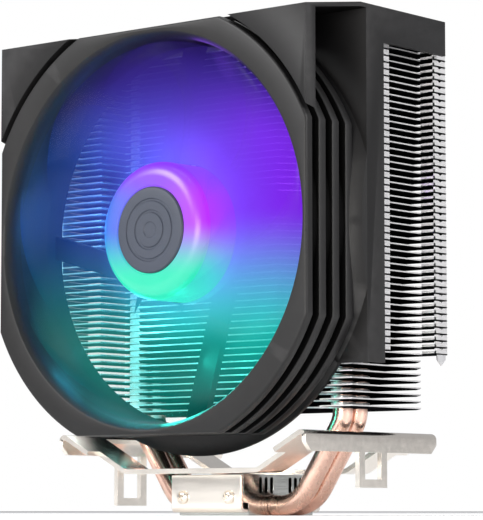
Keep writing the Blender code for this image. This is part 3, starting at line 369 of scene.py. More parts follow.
def math_node(tree, operation, first, second=None, clamp=False):
    node = tree.nodes.new("ShaderNodeMath")
    node.operation = operation
    node.use_clamp = clamp
    feed(tree, node.inputs[0], first)
    if second is not None:
        feed(tree, node.inputs[1], second)
    return node.outputs[0]


def vector_node(tree, operation, first, second=None):
    node = tree.nodes.new("ShaderNodeVectorMath")
    node.operation = operation
    feed(tree, node.inputs[0], first)
    if second is not None:
        feed(tree, node.inputs[1], second)
    return node.outputs


def scaled_colour(tree, tint, gain):
    node = tree.nodes.new("ShaderNodeVectorMath")
    node.operation = "SCALE"
    feed(tree, node.inputs[0], tint)
    feed(tree, node.inputs["Scale"], gain)
    return node.outputs[0]


def mix_colour(tree, factor, first, second):
    node = tree.nodes.new("ShaderNodeMix")
    node.data_type = "RGBA"
    for index, value in ((0, factor), (6, first), (7, second)):
        feed(tree, node.inputs[index], value)
    return node.outputs[2]


def range_node(tree, value, start, end, low=0.0, high=1.0, smooth=True):
    """Take a run from start to end over to low..high, eased unless told otherwise."""
    node = tree.nodes.new("ShaderNodeMapRange")
    if smooth:
        node.interpolation_type = "SMOOTHSTEP"
    feed(tree, node.inputs["Value"], value)
    for socket, number in (("From Min", start), ("From Max", end), ("To Min", low), ("To Max", high)):
        node.inputs[socket].default_value = number
    return node.outputs["Result"]


def split_node(tree, vector):
    node = tree.nodes.new("ShaderNodeSeparateXYZ")
    tree.links.new(vector, node.inputs[0])
    return node.outputs


def own_place(tree):
    return tree.nodes.new("ShaderNodeTexCoord").outputs["Object"]


def geometry_of(tree, kind):
    return tree.nodes.new("ShaderNodeNewGeometry").outputs[kind]


def noise_node(tree, place, scale, detail):
    node = tree.nodes.new("ShaderNodeTexNoise")
    feed(tree, node.inputs["Vector"], place)
    feed(tree, node.inputs["Scale"], scale)
    node.inputs["Detail"].default_value = detail
    return node.outputs["Fac"]


def build_grain_group():
    """Fine moulded or milled grain: colour variation, roughness spread and a height."""
    broad_share = 0.03
    group, given = new_group("surface_grain", {
        "Colour": GREY, "Variation": 0.1, "Scale": 900.0, "Stretch": (1.0, 1.0, 1.0),
        "Roughness": 0.4, "Spread": 0.08})
    stretched = vector_node(group, "MULTIPLY", own_place(group), given["Stretch"])[0]
    fine = noise_node(group, stretched, given["Scale"], 3.0)
    broad_scale = math_node(group, "MULTIPLY", given["Scale"], broad_share)
    broad = noise_node(group, stretched, broad_scale, 2.0)
    both = math_node(group, "ADD", math_node(group, "SUBTRACT", fine, 0.5),
                     math_node(group, "SUBTRACT", broad, 0.5))
    lift = math_node(group, "MULTIPLY", both, given["Variation"])
    gain = math_node(group, "ADD", lift, 1.0)
    spread = math_node(group, "MULTIPLY", both, given["Spread"])
    return close_group(group, {
        "Colour": scaled_colour(group, given["Colour"], gain),
        "Roughness": math_node(group, "ADD", spread, given["Roughness"], clamp=True),
        "Height": fine})


def build_wear_group():
    """Edges rubbed a little lighter than the faces."""
    group, given = new_group("edge_wear", {
        "Colour": GREY, "Worn Colour": (0.7, 0.7, 0.7, 1.0), "Amount": 0.5, "Scale": 300.0})
    edge = range_node(group, geometry_of(group, "Pointiness"), 0.51, 0.58, smooth=False)
    broken = math_node(group, "MULTIPLY", edge, noise_node(group, own_place(group), given["Scale"], 4.0))
    mask = math_node(group, "MULTIPLY", broken, given["Amount"], clamp=True)
    return close_group(group, {
        "Colour": mix_colour(group, mask, given["Colour"], given["Worn Colour"])})


def build_gap_shade_group():
    """Painted shade on flat fin faces turned up or down, deep between the fins, with a painted pool of light
    near the fins' front on the left; sideways cut edges get painted shade, other cut edges are bright.
    """
    group, given = new_group("gap_shade", {
        "Edge Colour": (0.9, 0.9, 0.9, 1.0), "Painted Shade Colour": (0.03, 0.03, 0.03, 1.0)})
    lit_depth = 9.0 * MM
    lit_from_x = -14.0 * MM
    lit_full_x = -42.0 * MM
    lit_gain = 0.85
    side_shade = 0.42
    normal = split_node(group, geometry_of(group, "True Normal"))
    mask = math_node(group, "GREATER_THAN", math_node(group, "ABSOLUTE", normal["Z"]), 0.7)
    place = split_node(group, own_place(group))
    # Painted light: flat faces near the fins' front edge, more so towards the left, are lifted towards the
    # edge colour.
    entry = range_node(group, place["Y"], FIN_FRONT_Y + lit_depth, FIN_FRONT_Y)
    far_side = range_node(group, place["X"], lit_from_x, lit_full_x)
    lit = math_node(group, "MULTIPLY", entry, far_side)
    lit = math_node(group, "MULTIPLY", lit, lit_gain)
    deep = mix_colour(group, lit, given["Painted Shade Colour"], given["Edge Colour"])
    # Painted shade: cut edges that face sideways are darkened towards black.
    sideways = math_node(group, "GREATER_THAN", math_node(group, "ABSOLUTE", normal["X"]), 0.9)
    edge = mix_colour(group, math_node(group, "MULTIPLY", sideways, side_shade), given["Edge Colour"], BLACK)
    return close_group(group, {"Colour": mix_colour(group, mask, edge, deep), "Mask": mask})


def build_fan_light_group():
    """Painted light: coloured light from the fan, as emission on faces turned to the front, in the part's
    own axes.
    """
    upper_left = (0.28, 0.52, 0.85)
    lower_left = (0.40, 0.95, 0.90)
    lower_right = (0.03, 0.55, 0.48)
    shelter_z = LOWER_LOW.z - 1.0 * MM
    shelter_y = 2.0 * PIPE_Y
    group, given = new_group("fan_light", {"Gain": 1.0})
    place = split_node(group, own_place(group))
    normal = split_node(group, geometry_of(group, "Normal"))
    facing = range_node(group, normal["Y"], -0.1, -0.8, smooth=False)
    up = range_node(group, place["Z"], FAN_Z - FAN_HALF, FAN_Z + FAN_HALF, smooth=False)
    across = range_node(group, place["X"], -FAN_HALF, FAN_HALF, smooth=False)
    upper = mix_colour(group, across, upper_left, tuple(colours().glow_right))
    lower = mix_colour(group, across, lower_left, lower_right)
    tint = mix_colour(group, range_node(group, up, 0.30, 0.62), lower, upper)
    shares = (
        range_node(group, up, 0.95, 0.45, low=0.08),
        range_node(group, across, 0.84, 0.60),
        math_node(group, "GREATER_THAN", place["Z"], shelter_z),
        math_node(group, "LESS_THAN", place["Y"], shelter_y),
        given["Gain"],
    )
    mask = facing
    for share in shares:
        mask = math_node(group, "MULTIPLY", mask, share)
    return close_group(group, {"Colour": mix_colour(group, mask, BLACK, tint)})


def build_round_glow_group():
    """Colour that changes round the fan's axis and stays put while the rotor turns."""
    lean_way = (0.75, 0.0, 0.66)
    group, given = new_group("round_glow", {
        "Left": (0.0, 0.1, 0.8, 1.0), "Top": (0.2, 0.0, 0.9, 1.0), "Right": (0.4, 0.0, 0.9, 1.0),
        "Bottom": (0.0, 0.6, 0.5, 1.0), "Sharpness": 40.0})
    centre = (0.0, FAN_FRONT_Y, FAN_Z)
    place = split_node(group, vector_node(group, "SUBTRACT", geometry_of(group, "Position"), centre)[0])
    across, up = (math_node(group, "ADD", math_node(group, "MULTIPLY", place[axis], given["Sharpness"]),
                            0.5, clamp=True) for axis in ("X", "Z"))
    upper = mix_colour(group, across, given["Left"], given["Right"])
    upper = mix_colour(group, range_node(group, up, 0.72, 1.0), upper, given["Top"])
    made = mix_colour(group, range_node(group, up, 0.55, 0.12), upper, given["Bottom"])
    flat = group.nodes.new("ShaderNodeCombineXYZ")
    group.links.new(place["X"], flat.inputs["X"])
    group.links.new(place["Z"], flat.inputs["Z"])
    return close_group(group, {
        "Colour": made,
        "Radius": vector_node(group, "LENGTH", flat.outputs[0])["Value"],
        "Height": up,
        "Lean": vector_node(group, "DOT_PRODUCT", flat.outputs[0], lean_way)["Value"]})


GROUPS = {}


def group_node(tree, name, values):
    node = tree.nodes.new("ShaderNodeGroup")
    node.node_tree = GROUPS[name]
    for socket, value in values.items():
        feed(tree, node.inputs[socket], value)
    return node.outputs


def new_material(name):
    material = bpy.data.materials.new(name)
    material.use_nodes = True
    return material, material.node_tree, material.node_tree.nodes["Principled BSDF"]


def add_bump(tree, shader, height, strength, distance):
    bump = tree.nodes.new("ShaderNodeBump")
    bump.inputs["Strength"].default_value = strength
    bump.inputs["Distance"].default_value = distance
    tree.links.new(height, bump.inputs["Height"])
    tree.links.new(bump.outputs["Normal"], shader.inputs["Normal"])


def finish_material(name, tint, roughness, metallic=0.0, variation=0.12, scale=900.0,
                    stretch=(1.0, 1.0, 1.0), spread=0.08, bump=0.15, worn=None, wear=0.5, specular=0.5):
    """A solid finish with grain, roughness spread, bump and, where asked, rubbed edges."""
    material, tree, shader = new_material(name)
    grain = group_node(tree, "surface_grain", {"Colour": tint, "Variation": variation, "Scale": scale,
                                               "Stretch": stretch, "Roughness": roughness, "Spread": spread})
    made = grain["Colour"]
    if worn:
        made = group_node(tree, "edge_wear", {"Colour": made, "Worn Colour": worn, "Amount": wear})["Colour"]
    tree.links.new(made, shader.inputs["Base Color"])
    tree.links.new(grain["Roughness"], shader.inputs["Roughness"])
    shader.inputs["Metallic"].default_value = metallic
    shader.inputs["Specular IOR Level"].default_value = specular
    add_bump(tree, shader, grain["Height"], bump, 0.05 * MM)
    return material


def material_of(name):
    """Make a finish the first time it is asked for."""
    found = bpy.data.materials.get(name)
    return found or MATERIALS[name]()


def colours():
    return bpy.context.scene.cooler_colours


def sizes():
    return bpy.context.scene.cooler_sizes


# ---------------------------------------------------------------- finishes
def charcoal_plastic():
    return finish_material("charcoal_plastic", tuple(colours().charcoal), 0.50, variation=0.18, scale=1600.0,
                           spread=0.10, bump=0.22, worn=WORN_PLASTIC, wear=0.7, specular=0.25)


def frame_plastic():
    return finish_material("frame_plastic", tuple(colours().charcoal), 0.48, variation=0.18, scale=1500.0,
                           spread=0.10, bump=0.20, worn=WORN_PLASTIC, wear=0.7, specular=0.30)


def painted_shade_plastic():
    """Painted shade: the same moulding, darker and duller, for faces inside the ribs and the corner bays,
    where no light reaches.
    """
    return finish_material("painted_shade_plastic", (0.0015, 0.0014, 0.0015), 0.8, variation=0.2, scale=1500.0,
                           bump=0.2, specular=0.05)


def fin_sheet():
    """Fins: bright cut edges, painted shade on the flat faces and sideways edges, and the fan's light
    painted as emission on the front edges.
    """
    material, tree, shader = new_material("fin_sheet")
    shade = group_node(tree, "gap_shade", {"Edge Colour": tuple(colours().aluminium),
                                           "Painted Shade Colour": tuple(colours().fin_painted_shade)})
    grain = group_node(tree, "surface_grain", {"Colour": shade["Colour"], "Variation": 0.10,
                                               "Scale": 500.0, "Stretch": (1.0, 1.0, 6.0),
                                               "Roughness": 0.34, "Spread": 0.12})
    tree.links.new(grain["Colour"], shader.inputs["Base Color"])
    tree.links.new(grain["Roughness"], shader.inputs["Roughness"])
    bright = math_node(tree, "SUBTRACT", 1.0, shade["Mask"])
    tree.links.new(math_node(tree, "MULTIPLY", bright, 0.35), shader.inputs["Metallic"])
    tree.links.new(group_node(tree, "fan_light", {})["Colour"], shader.inputs["Emission Color"])
    shader.inputs["Emission Strength"].default_value = 0.9
    shader.inputs["Specular IOR Level"].default_value = 0.0
    add_bump(tree, shader, grain["Height"], 0.1, 0.03 * MM)
    return material


def fin_tab():
    return finish_material("fin_tab", tuple(colours().aluminium), 0.38, 1.0, variation=0.08, scale=700.0,
                           stretch=(1.0, 1.0, 0.2), spread=0.14, bump=0.12)


def copper_pipe():
    """Polished copper in two tones, with the fan's light painted as emission where it faces the fan."""
    dull_copper = (0.80, 0.51, 0.41)
    material, tree, shader = new_material("copper_pipe")
    patches = noise_node(tree, own_place(tree), 90.0, 3.0)
    toned = mix_colour(tree, patches, tuple(colours().copper), dull_copper)
    grain = group_node(tree, "surface_grain", {"Colour": toned, "Variation": 0.12, "Scale": 500.0,
                                               "Stretch": (3.0, 3.0, 0.25), "Roughness": 0.26,
                                               "Spread": 0.10})
    lit = group_node(tree, "fan_light", {"Gain": 0.9})
    tree.links.new(lit["Colour"], shader.inputs["Emission Color"])
    shader.inputs["Emission Strength"].default_value = 0.8
    tree.links.new(grain["Colour"], shader.inputs["Base Color"])
    tree.links.new(grain["Roughness"], shader.inputs["Roughness"])
    shader.inputs["Metallic"].default_value = 1.0
    add_bump(tree, shader, grain["Height"], 0.03, 0.02 * MM)
    return material


def nickel_sheet():
    return finish_material("nickel_sheet", tuple(colours().nickel), 0.20, 1.0, variation=0.08, scale=260.0,
                           stretch=(0.3, 2.0, 2.0), spread=0.16, bump=0.08, worn=WORN_NICKEL, wear=0.6)


def nickel_screw():
    return finish_material("nickel_screw", tuple(colours().nickel), 0.16, 1.0, variation=0.08, scale=800.0,
                           spread=0.10, bump=0.06, worn=WORN_NICKEL, wear=0.6)


def fan_palette():
    c = colours()
    return tuple(c.glow_left), tuple(c.glow_top), tuple(c.glow_right), tuple(c.glow_bottom)


def glow_node(tree, palette, sharpness):
    """The round glow with its colours for left, top, right and bottom."""
    return group_node(tree, "round_glow", {**dict(zip(("Left", "Top", "Right", "Bottom"), palette)),
                                           "Sharpness": sharpness})


def milled_block():
    return finish_material("milled_block", tuple(colours().block), 0.14, 1.0, variation=0.14, scale=420.0,
                           stretch=(0.25, 0.25, 4.0), spread=0.18, bump=0.10, worn=(0.8, 0.8, 0.78))


def glow_material(name, palette, strength, sharpness):
    """Frosted plastic lit from inside: coloured emission round the fan's axis."""
    dark_share = 0.93
    material, tree, shader = new_material(name)
    glow = glow_node(tree, palette, sharpness)
    grain = group_node(tree, "surface_grain", {"Colour": glow["Colour"], "Variation": 0.10,
                                               "Scale": 120.0, "Roughness": 0.35, "Spread": 0.1})
    tree.links.new(grain["Colour"], shader.inputs["Emission Color"])
    shader.inputs["Emission Strength"].default_value = strength
    pale = mix_colour(tree, dark_share, grain["Colour"], BLACK)
    tree.links.new(pale, shader.inputs["Base Color"])
    tree.links.new(grain["Roughness"], shader.inputs["Roughness"])
    return material, tree, shader, glow


def blade_glow():
    """Faint blades, clear at both long edges and a little denser towards the top."""
    least_alpha = 0.03
    top_alpha = 0.10
    stops = ((0.0, 0.0), (0.35, 1.0), (0.65, 1.0), (1.0, 0.0))
    material, tree, shader, glow = glow_material("blade_glow", fan_palette(), 0.5, 11.0)
    chord = split_node(tree, tree.nodes.new("ShaderNodeTexCoord").outputs["UV"])["Y"]
    ramp = tree.nodes.new("ShaderNodeValToRGB")
    ramp.color_ramp.interpolation = "EASE"
    while len(ramp.color_ramp.elements) < len(stops):
        ramp.color_ramp.elements.new(0.5)
    for element, (at, value) in zip(ramp.color_ramp.elements, stops):
        element.position = at
        element.color = (value, value, value, 1.0)
    tree.links.new(chord, ramp.inputs["Fac"])
    height = math_node(tree, "MULTIPLY", glow["Height"], top_alpha)
    opaque = math_node(tree, "ADD", height, least_alpha, clamp=True)
    alpha = math_node(tree, "MULTIPLY", ramp.outputs["Color"], opaque)
    tree.links.new(alpha, shader.inputs["Alpha"])
    return material


def haze_material(name, left_alpha, right_alpha, near_hub, halo_alpha):
    """Thin lit haze, denser at the upper right, clearer at the lower left, brighter round the hub."""
    strength = 0.95
    low_strength = 0.55 * strength
    halo_strength = 0.45
    rim_alpha = 0.25
    material, tree, shader = new_material(name)
    glow = glow_node(tree, fan_palette(), 10.0)
    grain = group_node(tree, "surface_grain", {"Colour": glow["Colour"], "Variation": 0.12,
                                               "Scale": 40.0, "Roughness": 0.6, "Spread": 0.1})
    tree.links.new(grain["Roughness"], shader.inputs["Roughness"])
    shader.inputs["Base Color"].default_value = (0.0, 0.0, 0.0, 1.0)
    shader.inputs["Specular IOR Level"].default_value = 0.0
    dense = range_node(tree, glow["Lean"], -16.0 * MM, 26.0 * MM, left_alpha, right_alpha)
    rim = range_node(tree, glow["Radius"], FAN_HALF - 3.9 * MM, FAN_HALF - 14.0 * MM, rim_alpha)
    near = range_node(tree, glow["Radius"], 20.0 * MM, 34.0 * MM, near_hub)
    halo = range_node(tree, glow["Radius"], 38.0 * MM, 21.0 * MM, high=halo_strength)
    dim = range_node(tree, glow["Lean"], -45.0 * MM, 12.0 * MM, low_strength, strength)
    power = math_node(tree, "ADD", dim, halo)
    tree.links.new(scaled_colour(tree, grain["Colour"], power), shader.inputs["Emission Color"])
    shader.inputs["Emission Strength"].default_value = 1.0
    alpha = math_node(tree, "MULTIPLY", dense, rim)
    alpha = math_node(tree, "MULTIPLY", alpha, near, clamp=True)
    thicker = math_node(tree, "MULTIPLY", halo, halo_alpha)
    alpha = math_node(tree, "ADD", alpha, thicker, clamp=True)
    tree.links.new(alpha, shader.inputs["Alpha"])
    return material


def front_haze():
    return haze_material("front_haze", 0.08, 0.50, 0.2, 0.12)


def rear_haze():
    return haze_material("rear_haze", 0.09, 0.55, 1.0, 0.8)


def hub_glow():
    palette = ((0.03, 0.20, 0.80), (0.26, 0.04, 0.95), (0.50, 0.03, 0.95), (0.03, 0.80, 0.50))
    return glow_material("hub_glow", palette, 0.95, 26.0)[0]


def cap_plastic():
    return finish_material("cap_plastic", (0.022, 0.028, 0.045), 0.5, variation=0.2, scale=900.0,
                           spread=0.1, bump=0.15)


def black_oxide():
    return finish_material("black_oxide", (0.03, 0.03, 0.032), 0.35, 1.0, worn=(0.25, 0.25, 0.25))


def yoke_steel():
    return finish_material("yoke_steel", (0.45, 0.45, 0.46), 0.35, 1.0, scale=500.0, stretch=(1.0, 6.0, 1.0))


def ferrite():
    return finish_material("ferrite", (0.03, 0.03, 0.032), 0.6, variation=0.3)


def sintered_bronze():
    return finish_material("sintered_bronze", (0.65, 0.5, 0.22), 0.34, 1.0, variation=0.3, bump=0.4)


def lamination_steel():
    return finish_material("lamination_steel", (0.3, 0.31, 0.33), 0.45, 1.0, scale=2000.0,
                           stretch=(0.05, 3.0, 0.05), bump=0.6)


def enamelled_wire():
    return finish_material("enamelled_wire", (0.6, 0.28, 0.14), 0.3, 1.0, scale=2500.0,
                           stretch=(0.1, 2.0, 0.1), bump=0.6)


def solder_mask():
    return finish_material("solder_mask", (0.02, 0.11, 0.05), 0.35, variation=0.25, scale=400.0)


def led_lens():
    return finish_material("led_lens", (0.85, 0.87, 0.9), 0.2, variation=0.05)


def nylon():
    return finish_material("nylon", (0.7, 0.7, 0.66), 0.5, variation=0.08)


def studio_floor():
    return finish_material("studio_floor", (0.86, 0.86, 0.86), 0.55, variation=0.02, scale=40.0,
                           bump=0.02)


MATERIALS = {maker.__name__: maker for maker in (
    charcoal_plastic, frame_plastic, painted_shade_plastic, fin_sheet, fin_tab, copper_pipe, nickel_sheet,
    nickel_screw, milled_block, blade_glow, front_haze, rear_haze, hub_glow, cap_plastic, black_oxide,
    yoke_steel, ferrite, sintered_bronze, lamination_steel, enamelled_wire, solder_mask, led_lens, nylon,
    studio_floor)}


# ---------------------------------------------------------------- base
def pipe_path(y, tip):
    """Middle line of a pipe: down one leg, under the block and up the other leg."""
    slope = math.radians(56.5)
    low_bend = 12.0 * MM
    high_bend = 10.0 * MM
    fin_clearance = 0.1 * MM
    bend_steps = 14
    elbow_run = high_bend * math.tan((math.pi / 2.0 - slope) / 2.0)
    elbow_z = LOWER_LOW.z - elbow_run - fin_clearance
    foot_x = PIPE_LEG_X - (elbow_z - PIPE_RADIUS) / math.tan(slope)
    half = [((PIPE_LEG_X, y, PIPE_TOP_Z - tip), 0.0), ((PIPE_LEG_X, y, elbow_z), high_bend),
            ((foot_x, y, PIPE_RADIUS), low_bend)]
    other = [((-p[0], p[1], p[2]), bend) for p, bend in reversed(half)]
    return rounded_path(half + other, bend_steps)


def make_pipe(name, y):
    """Round copper pipe with a domed tip on each leg."""
    sides = 40
    tip = 1.4 * MM
    tip_steps = 5
    tip_least = 0.3 * MM
    path = pipe_path(y, tip)
    work = bmesh.new()
    rings = []

    def add_ring(centre, along, radius):
        across = Vector((0.0, 1.0, 0.0))
        out = along.cross(across).normalized()
        rings.append([work.verts.new(centre + (across * math.cos(t) + out * math.sin(t)) * radius)
                      for t in (2.0 * math.pi * i / sides for i in range(sides))])

    def add_tip_ring(end, along, angle):
        add_ring(end + Vector((0.0, 0.0, tip * math.sin(angle))), along,
                 max(PIPE_RADIUS * math.cos(angle), tip_least))

    angles = [(1.0 - step / tip_steps) * math.pi / 2.0 for step in range(tip_steps)]
    for angle in angles:
        add_tip_ring(path[0], path[1] - path[0], angle)
    for index, point in enumerate(path):
        before = path[max(index - 1, 0)]
        after = path[min(index + 1, len(path) - 1)]
        add_ring(point, after - before, PIPE_RADIUS)
    for angle in reversed(angles):
        add_tip_ring(path[-1], path[-1] - path[-2], angle)
    join_rings(work, rings)
    work.faces.new(rings[0])
    work.faces.new(rings[-1])
    add_piece(name + "_tube", mesh_from(name, work), TOWER, material_of("copper_pipe"), (name,),
              smooth=50.0)


def make_base_block_piece():
    """Milled block with two pipe bores, rows of end slots and a rebate along each foot."""
    slot_half = 0.75 * MM
    slot_count = 3
    slot_pitch = 2.6 * MM
    slot_first = PIPE_Y + 0.9 * MM
    slot_top = BLOCK_HEIGHT - 0.8 * MM
    slot_bottom = 2.0 * PIPE_RADIUS + 1.3 * MM - slot_half
    slot_round = 0.9 * slot_half
    bore = PIPE_RADIUS + 0.15 * MM
    reach = BLOCK_HALF_X + 2.0 * MM
    rebate_in = BLOCK_HALF_Y - 2.3 * MM
    rebate_top = 3.8 * MM
    past = 1.0 * MM
    body = box_mesh("base_body", (-BLOCK_HALF_X, -BLOCK_HALF_Y, 0.0),
                    (BLOCK_HALF_X, BLOCK_HALF_Y, BLOCK_HEIGHT))
    bores = [circle_points(bore, 32, (y, PIPE_RADIUS)) for y in (-PIPE_Y, PIPE_Y)]
    slots = []
    for side in (-1, 1):
        for number in range(slot_count):
            middle = side * (slot_first + number * slot_pitch)
            low, high = middle - slot_half, middle + slot_half
            slots.append(rounded_outline([(low, slot_bottom), (high, slot_bottom), (high, slot_top),
                                          (low, slot_top)], slot_round))
    steps = [("DIFFERENCE", prism_mesh("bores", bores, -reach, reach, "X")),
             ("DIFFERENCE", prism_mesh("slots", slots, -reach, reach, "X"))]
    for side in (-1, 1):
        near, far = sorted((side * rebate_in, side * (BLOCK_HALF_Y + past)))
        steps.append(("DIFFERENCE", box_mesh("rebate", (-reach, near, -past), (reach, far, rebate_top))))
    mesh = combined("base_block_body", body, steps)
    block = add_piece("base_block_body", mesh, TOWER, material_of("milled_block"), ("base_block",))
    soften(block, sizes().metal_round, 2)


def make_clamp(name, side):
    """Folded plate on the block's face, curled under at the foot, with two screw holes."""
    sheet = 1.0 * MM
    face = BLOCK_HALF_Y + 0.3 * MM + sheet
    half_x = BLOCK_HALF_X + 0.1 * MM
    foot = 0.9 * MM
    top = BLOCK_HEIGHT - 0.2 * MM
    lip = BLOCK_HALF_Y - 2.0 * MM
    bend_outer = 2.1 * MM
    edge_bend = 0.2 * MM
    lip_bend = 0.3 * MM
    hole_radius = 1.2 * MM
    hole_x = 9.0 * MM
    hole_z = 5.4 * MM
    past = 2.0 * MM
    outline = [(face, top), (face, foot), (lip, foot), (lip, foot + sheet), (face - sheet, foot + sheet),
               (face - sheet, top)]
    rounds = [edge_bend, bend_outer, lip_bend, lip_bend, bend_outer - sheet, edge_bend]
    profile = [(side * y, z) for y, z in rounded_outline(outline, rounds, 8)]
    plate = prism_mesh(name, [profile], -half_x, half_x, "X")
    holes = [circle_points(hole_radius, 24, (x, hole_z)) for x in (-hole_x, hole_x)]
    near, far = sorted((side * (face - past), side * (face + past)))
    mesh = combined(name + "_plate", plate, [("DIFFERENCE", prism_mesh("holes", holes, near, far, "Y"))])
    clamp = add_piece(name + "_plate", mesh, TOWER, material_of("nickel_sheet"), (name,))
    soften(clamp, sizes().metal_round * 0.6, 2)


def make_cross_screw(name, node, material, turn):
    """Pan head with a crossed recess, on the axis of its CAD screw."""
    low, high = box_of(node)
    middle = (low + high) / 2.0
    side = -1.0 if middle.y < 0.0 else 1.0
    head_radius = (high.x - low.x) / 2.0
    head_height = 1.1 * MM
    crown_height = 0.75 * head_height
    crown_steps = 7
    shank_radius = 1.0 * MM
    full_length = high.y - low.y
    arm = head_radius * 0.62
    half = head_radius * 0.13
    depth = head_height * 0.8
    past = 1.0 * MM
    profile = [(0.0, 0.0)]
    for step in range(1, crown_steps + 1):
        angle = step / crown_steps * math.pi / 2.0
        profile.append((head_radius * math.sin(angle), crown_height * (1.0 - math.cos(angle))))
    profile += [(head_radius, head_height), (shank_radius, head_height), (shank_radius, full_length),
                (0.0, full_length)]
    body = turned_mesh(name, profile, 40)
    bars = [[(-arm, -half), (arm, -half), (arm, half), (-arm, half)],
            [(-half, -arm), (half, -arm), (half, arm), (-half, arm)]]
    mesh = combined(name, body, [("DIFFERENCE", prism_mesh("bar", [bar], -depth, past)) for bar in bars])
    tip_y = low.y if side < 0.0 else high.y
    place = Matrix.Translation((middle.x, tip_y, middle.z)) @ Matrix.Rotation(-side * math.pi / 2.0, 4, "X")
    mesh.transform(place @ Matrix.Rotation(turn, 4, "Z"))
    add_piece(name, mesh, TOWER, material, (node,), smooth=40.0)


def clip_rows(side):
    """Rows of the folded sheet in XZ: what each stretch is, and where it starts."""
    sheet = sizes().clip_sheet
    foot_reach = {1: 10.3 * MM, -1: 15.4 * MM}[side]
    low = CLIP_REST_Z + sheet / 2.0
    high = low + 10.9 * MM
    flange_x = CLIP_HIGH.x - sheet / 2.0
    flange_foot = high - 5.7 * MM
    flange_corner = flange_foot + 2.6 * MM
    hook_end = flange_foot - foot_reach
    window_foot = hook_end + 2.4 * MM
    flat_x = 26.0 * MM
    shoulder_x = flange_x - 0.9 * MM
    shoulder_drop = 1.1 * MM
    wide_x = 36.5 * MM
    full_x = 44.3 * MM
    near_enough = 1e-6
    corners = [((0.0, low), 0.0), ((flat_x, low), 5.0 * MM), ((shoulder_x, high), 1.3 * MM),
               ((flange_x, high - shoulder_drop), 0.9 * MM), ((flange_x, hook_end), 0.0)]
    path = rounded_path([((x, z, 0.0), bend) for (x, z), bend in corners], 5)
    slope = (high - low) / (shoulder_x - flat_x)
    points = [(p.x, p.y) for p in path]
    points += [(x, low + (x - flat_x) * slope) for x in (wide_x, full_x)]
    points += [(flange_x, z) for z in (flange_corner, flange_foot, window_foot)]
    points = {(round(x, 7), round(z, 7)) for x, z in points}
    rows = []
    for x, z in sorted(points, key=lambda p: (p[0], -p[1] if p[0] > shoulder_x else p[1])):
        if x < wide_x - near_enough:
            kind = "bars"
        elif x < full_x - near_enough:
            kind = "wide"
        elif z > flange_corner + near_enough:
            kind = "full"
        elif z > flange_foot + near_enough:
            kind = "corner"
        elif z > window_foot + near_enough:
            kind = "window"
        else:
            kind = "hook"
        rows.append((kind, x, z))
    return rows


def make_clip():
    """One sheet folded into two bars, two flanges and two windowed hooks."""
    bar_outer = 26.5 * MM
    bar_inner = 15.2 * MM
    flange_half = 31.7 * MM
    hook_half = 6.8 * MM
    window_half = 3.9 * MM
    corner = 2.6 * MM
    edges = [flange_half, bar_outer, bar_inner, hook_half, window_half]
    lines = [-y for y in edges] + edges[::-1]
    work = bmesh.new()
    grid = {}

    def keeps(kind, near, far):
        return {"bars": near >= bar_inner and far <= bar_outer, "wide": near >= bar_inner, "full": True,
                "corner": True, "window": near >= window_half and far <= hook_half,
                "hook": far <= hook_half}[kind]

    def corner_at(side, rows, row, column):
        kind, x, z = rows[row]
        y = lines[column]
        if kind == "window" and abs(y) == flange_half and rows[row - 1][0] == "corner":
            y = math.copysign(flange_half - corner, y)
        key = (side if row else 0, row, column)
        if key not in grid:
            grid[key] = work.verts.new((side * x, y, z))
        return grid[key]

    for side in (-1, 1):
        rows = clip_rows(side)
        for row in range(len(rows) - 1):
            for column in range(len(lines) - 1):
                near, far = sorted((abs(lines[column]), abs(lines[column + 1])))
                near = 0.0 if near == far else near
                if keeps(rows[row][0], near, far):
                    around = ((row, column), (row, column + 1), (row + 1, column + 1), (row + 1, column))
                    work.faces.new([corner_at(side, rows, *place) for place in around])
    clip = add_piece("mounting_clip_sheet", mesh_from("mounting_clip_sheet", work), TOWER,
                     material_of("nickel_sheet"), ("mounting_clip",), smooth=40.0)
    thicken(clip, sizes().clip_sheet)
    clip.modifiers["Thickness"].use_even_offset = True
    soften(clip, sizes().metal_round, 2, 50.0)


# ---------------------------------------------------------------- fins
def thicken(item, thickness):
    """Give a sheet its thickness, half to each side."""
    sheet = item.modifiers.new("Thickness", "SOLIDIFY")
    sheet.thickness = thickness
    sheet.offset = 0.0


def fin_mesh(outline):
    """One fin: a flat sheet with four pipe holes, each with a flared collar."""
    s = sizes()
    thickness = s.fin_thickness
    sides = 28
    hole = PIPE_RADIUS + 0.05 * MM
    inner = PIPE_RADIUS + 0.06 * MM
    wall = 0.55 * MM
    flare = 1.6 * wall
    flare_top = thickness + 0.35 * MM
    collar_top = s.fin_pitch - 0.25 * MM
    work = bmesh.new()
    centres = [(x, y) for x in (-PIPE_LEG_X, PIPE_LEG_X) for y in (-PIPE_Y, PIPE_Y)]
    edges = []
    for loop in [outline] + [circle_points(hole, sides, centre) for centre in centres]:
        verts = [work.verts.new((x, y, 0.0)) for x, y in loop]
        edges += [work.edges.new((verts[i], verts[(i + 1) % len(verts)])) for i in range(len(verts))]
    bmesh.ops.triangle_fill(work, use_beauty=True, use_dissolve=False, edges=edges)
    extrude(work, list(work.faces), (0.0, 0.0, thickness))
    collar = ((inner, thickness * 0.5), (inner + flare, thickness), (inner + wall, flare_top),
              (inner + wall, collar_top), (inner, collar_top))
    for centre in centres:
        rings = [ring_verts(work, radius, sides, z, centre) for radius, z in collar]
        join_rings(work, rings + rings[:1])
    return work


def ring_verts(work, radius, sides, height, centre=(0.0, 0.0)):
    return [work.verts.new((x, y, height)) for x, y in circle_points(radius, sides, centre)]


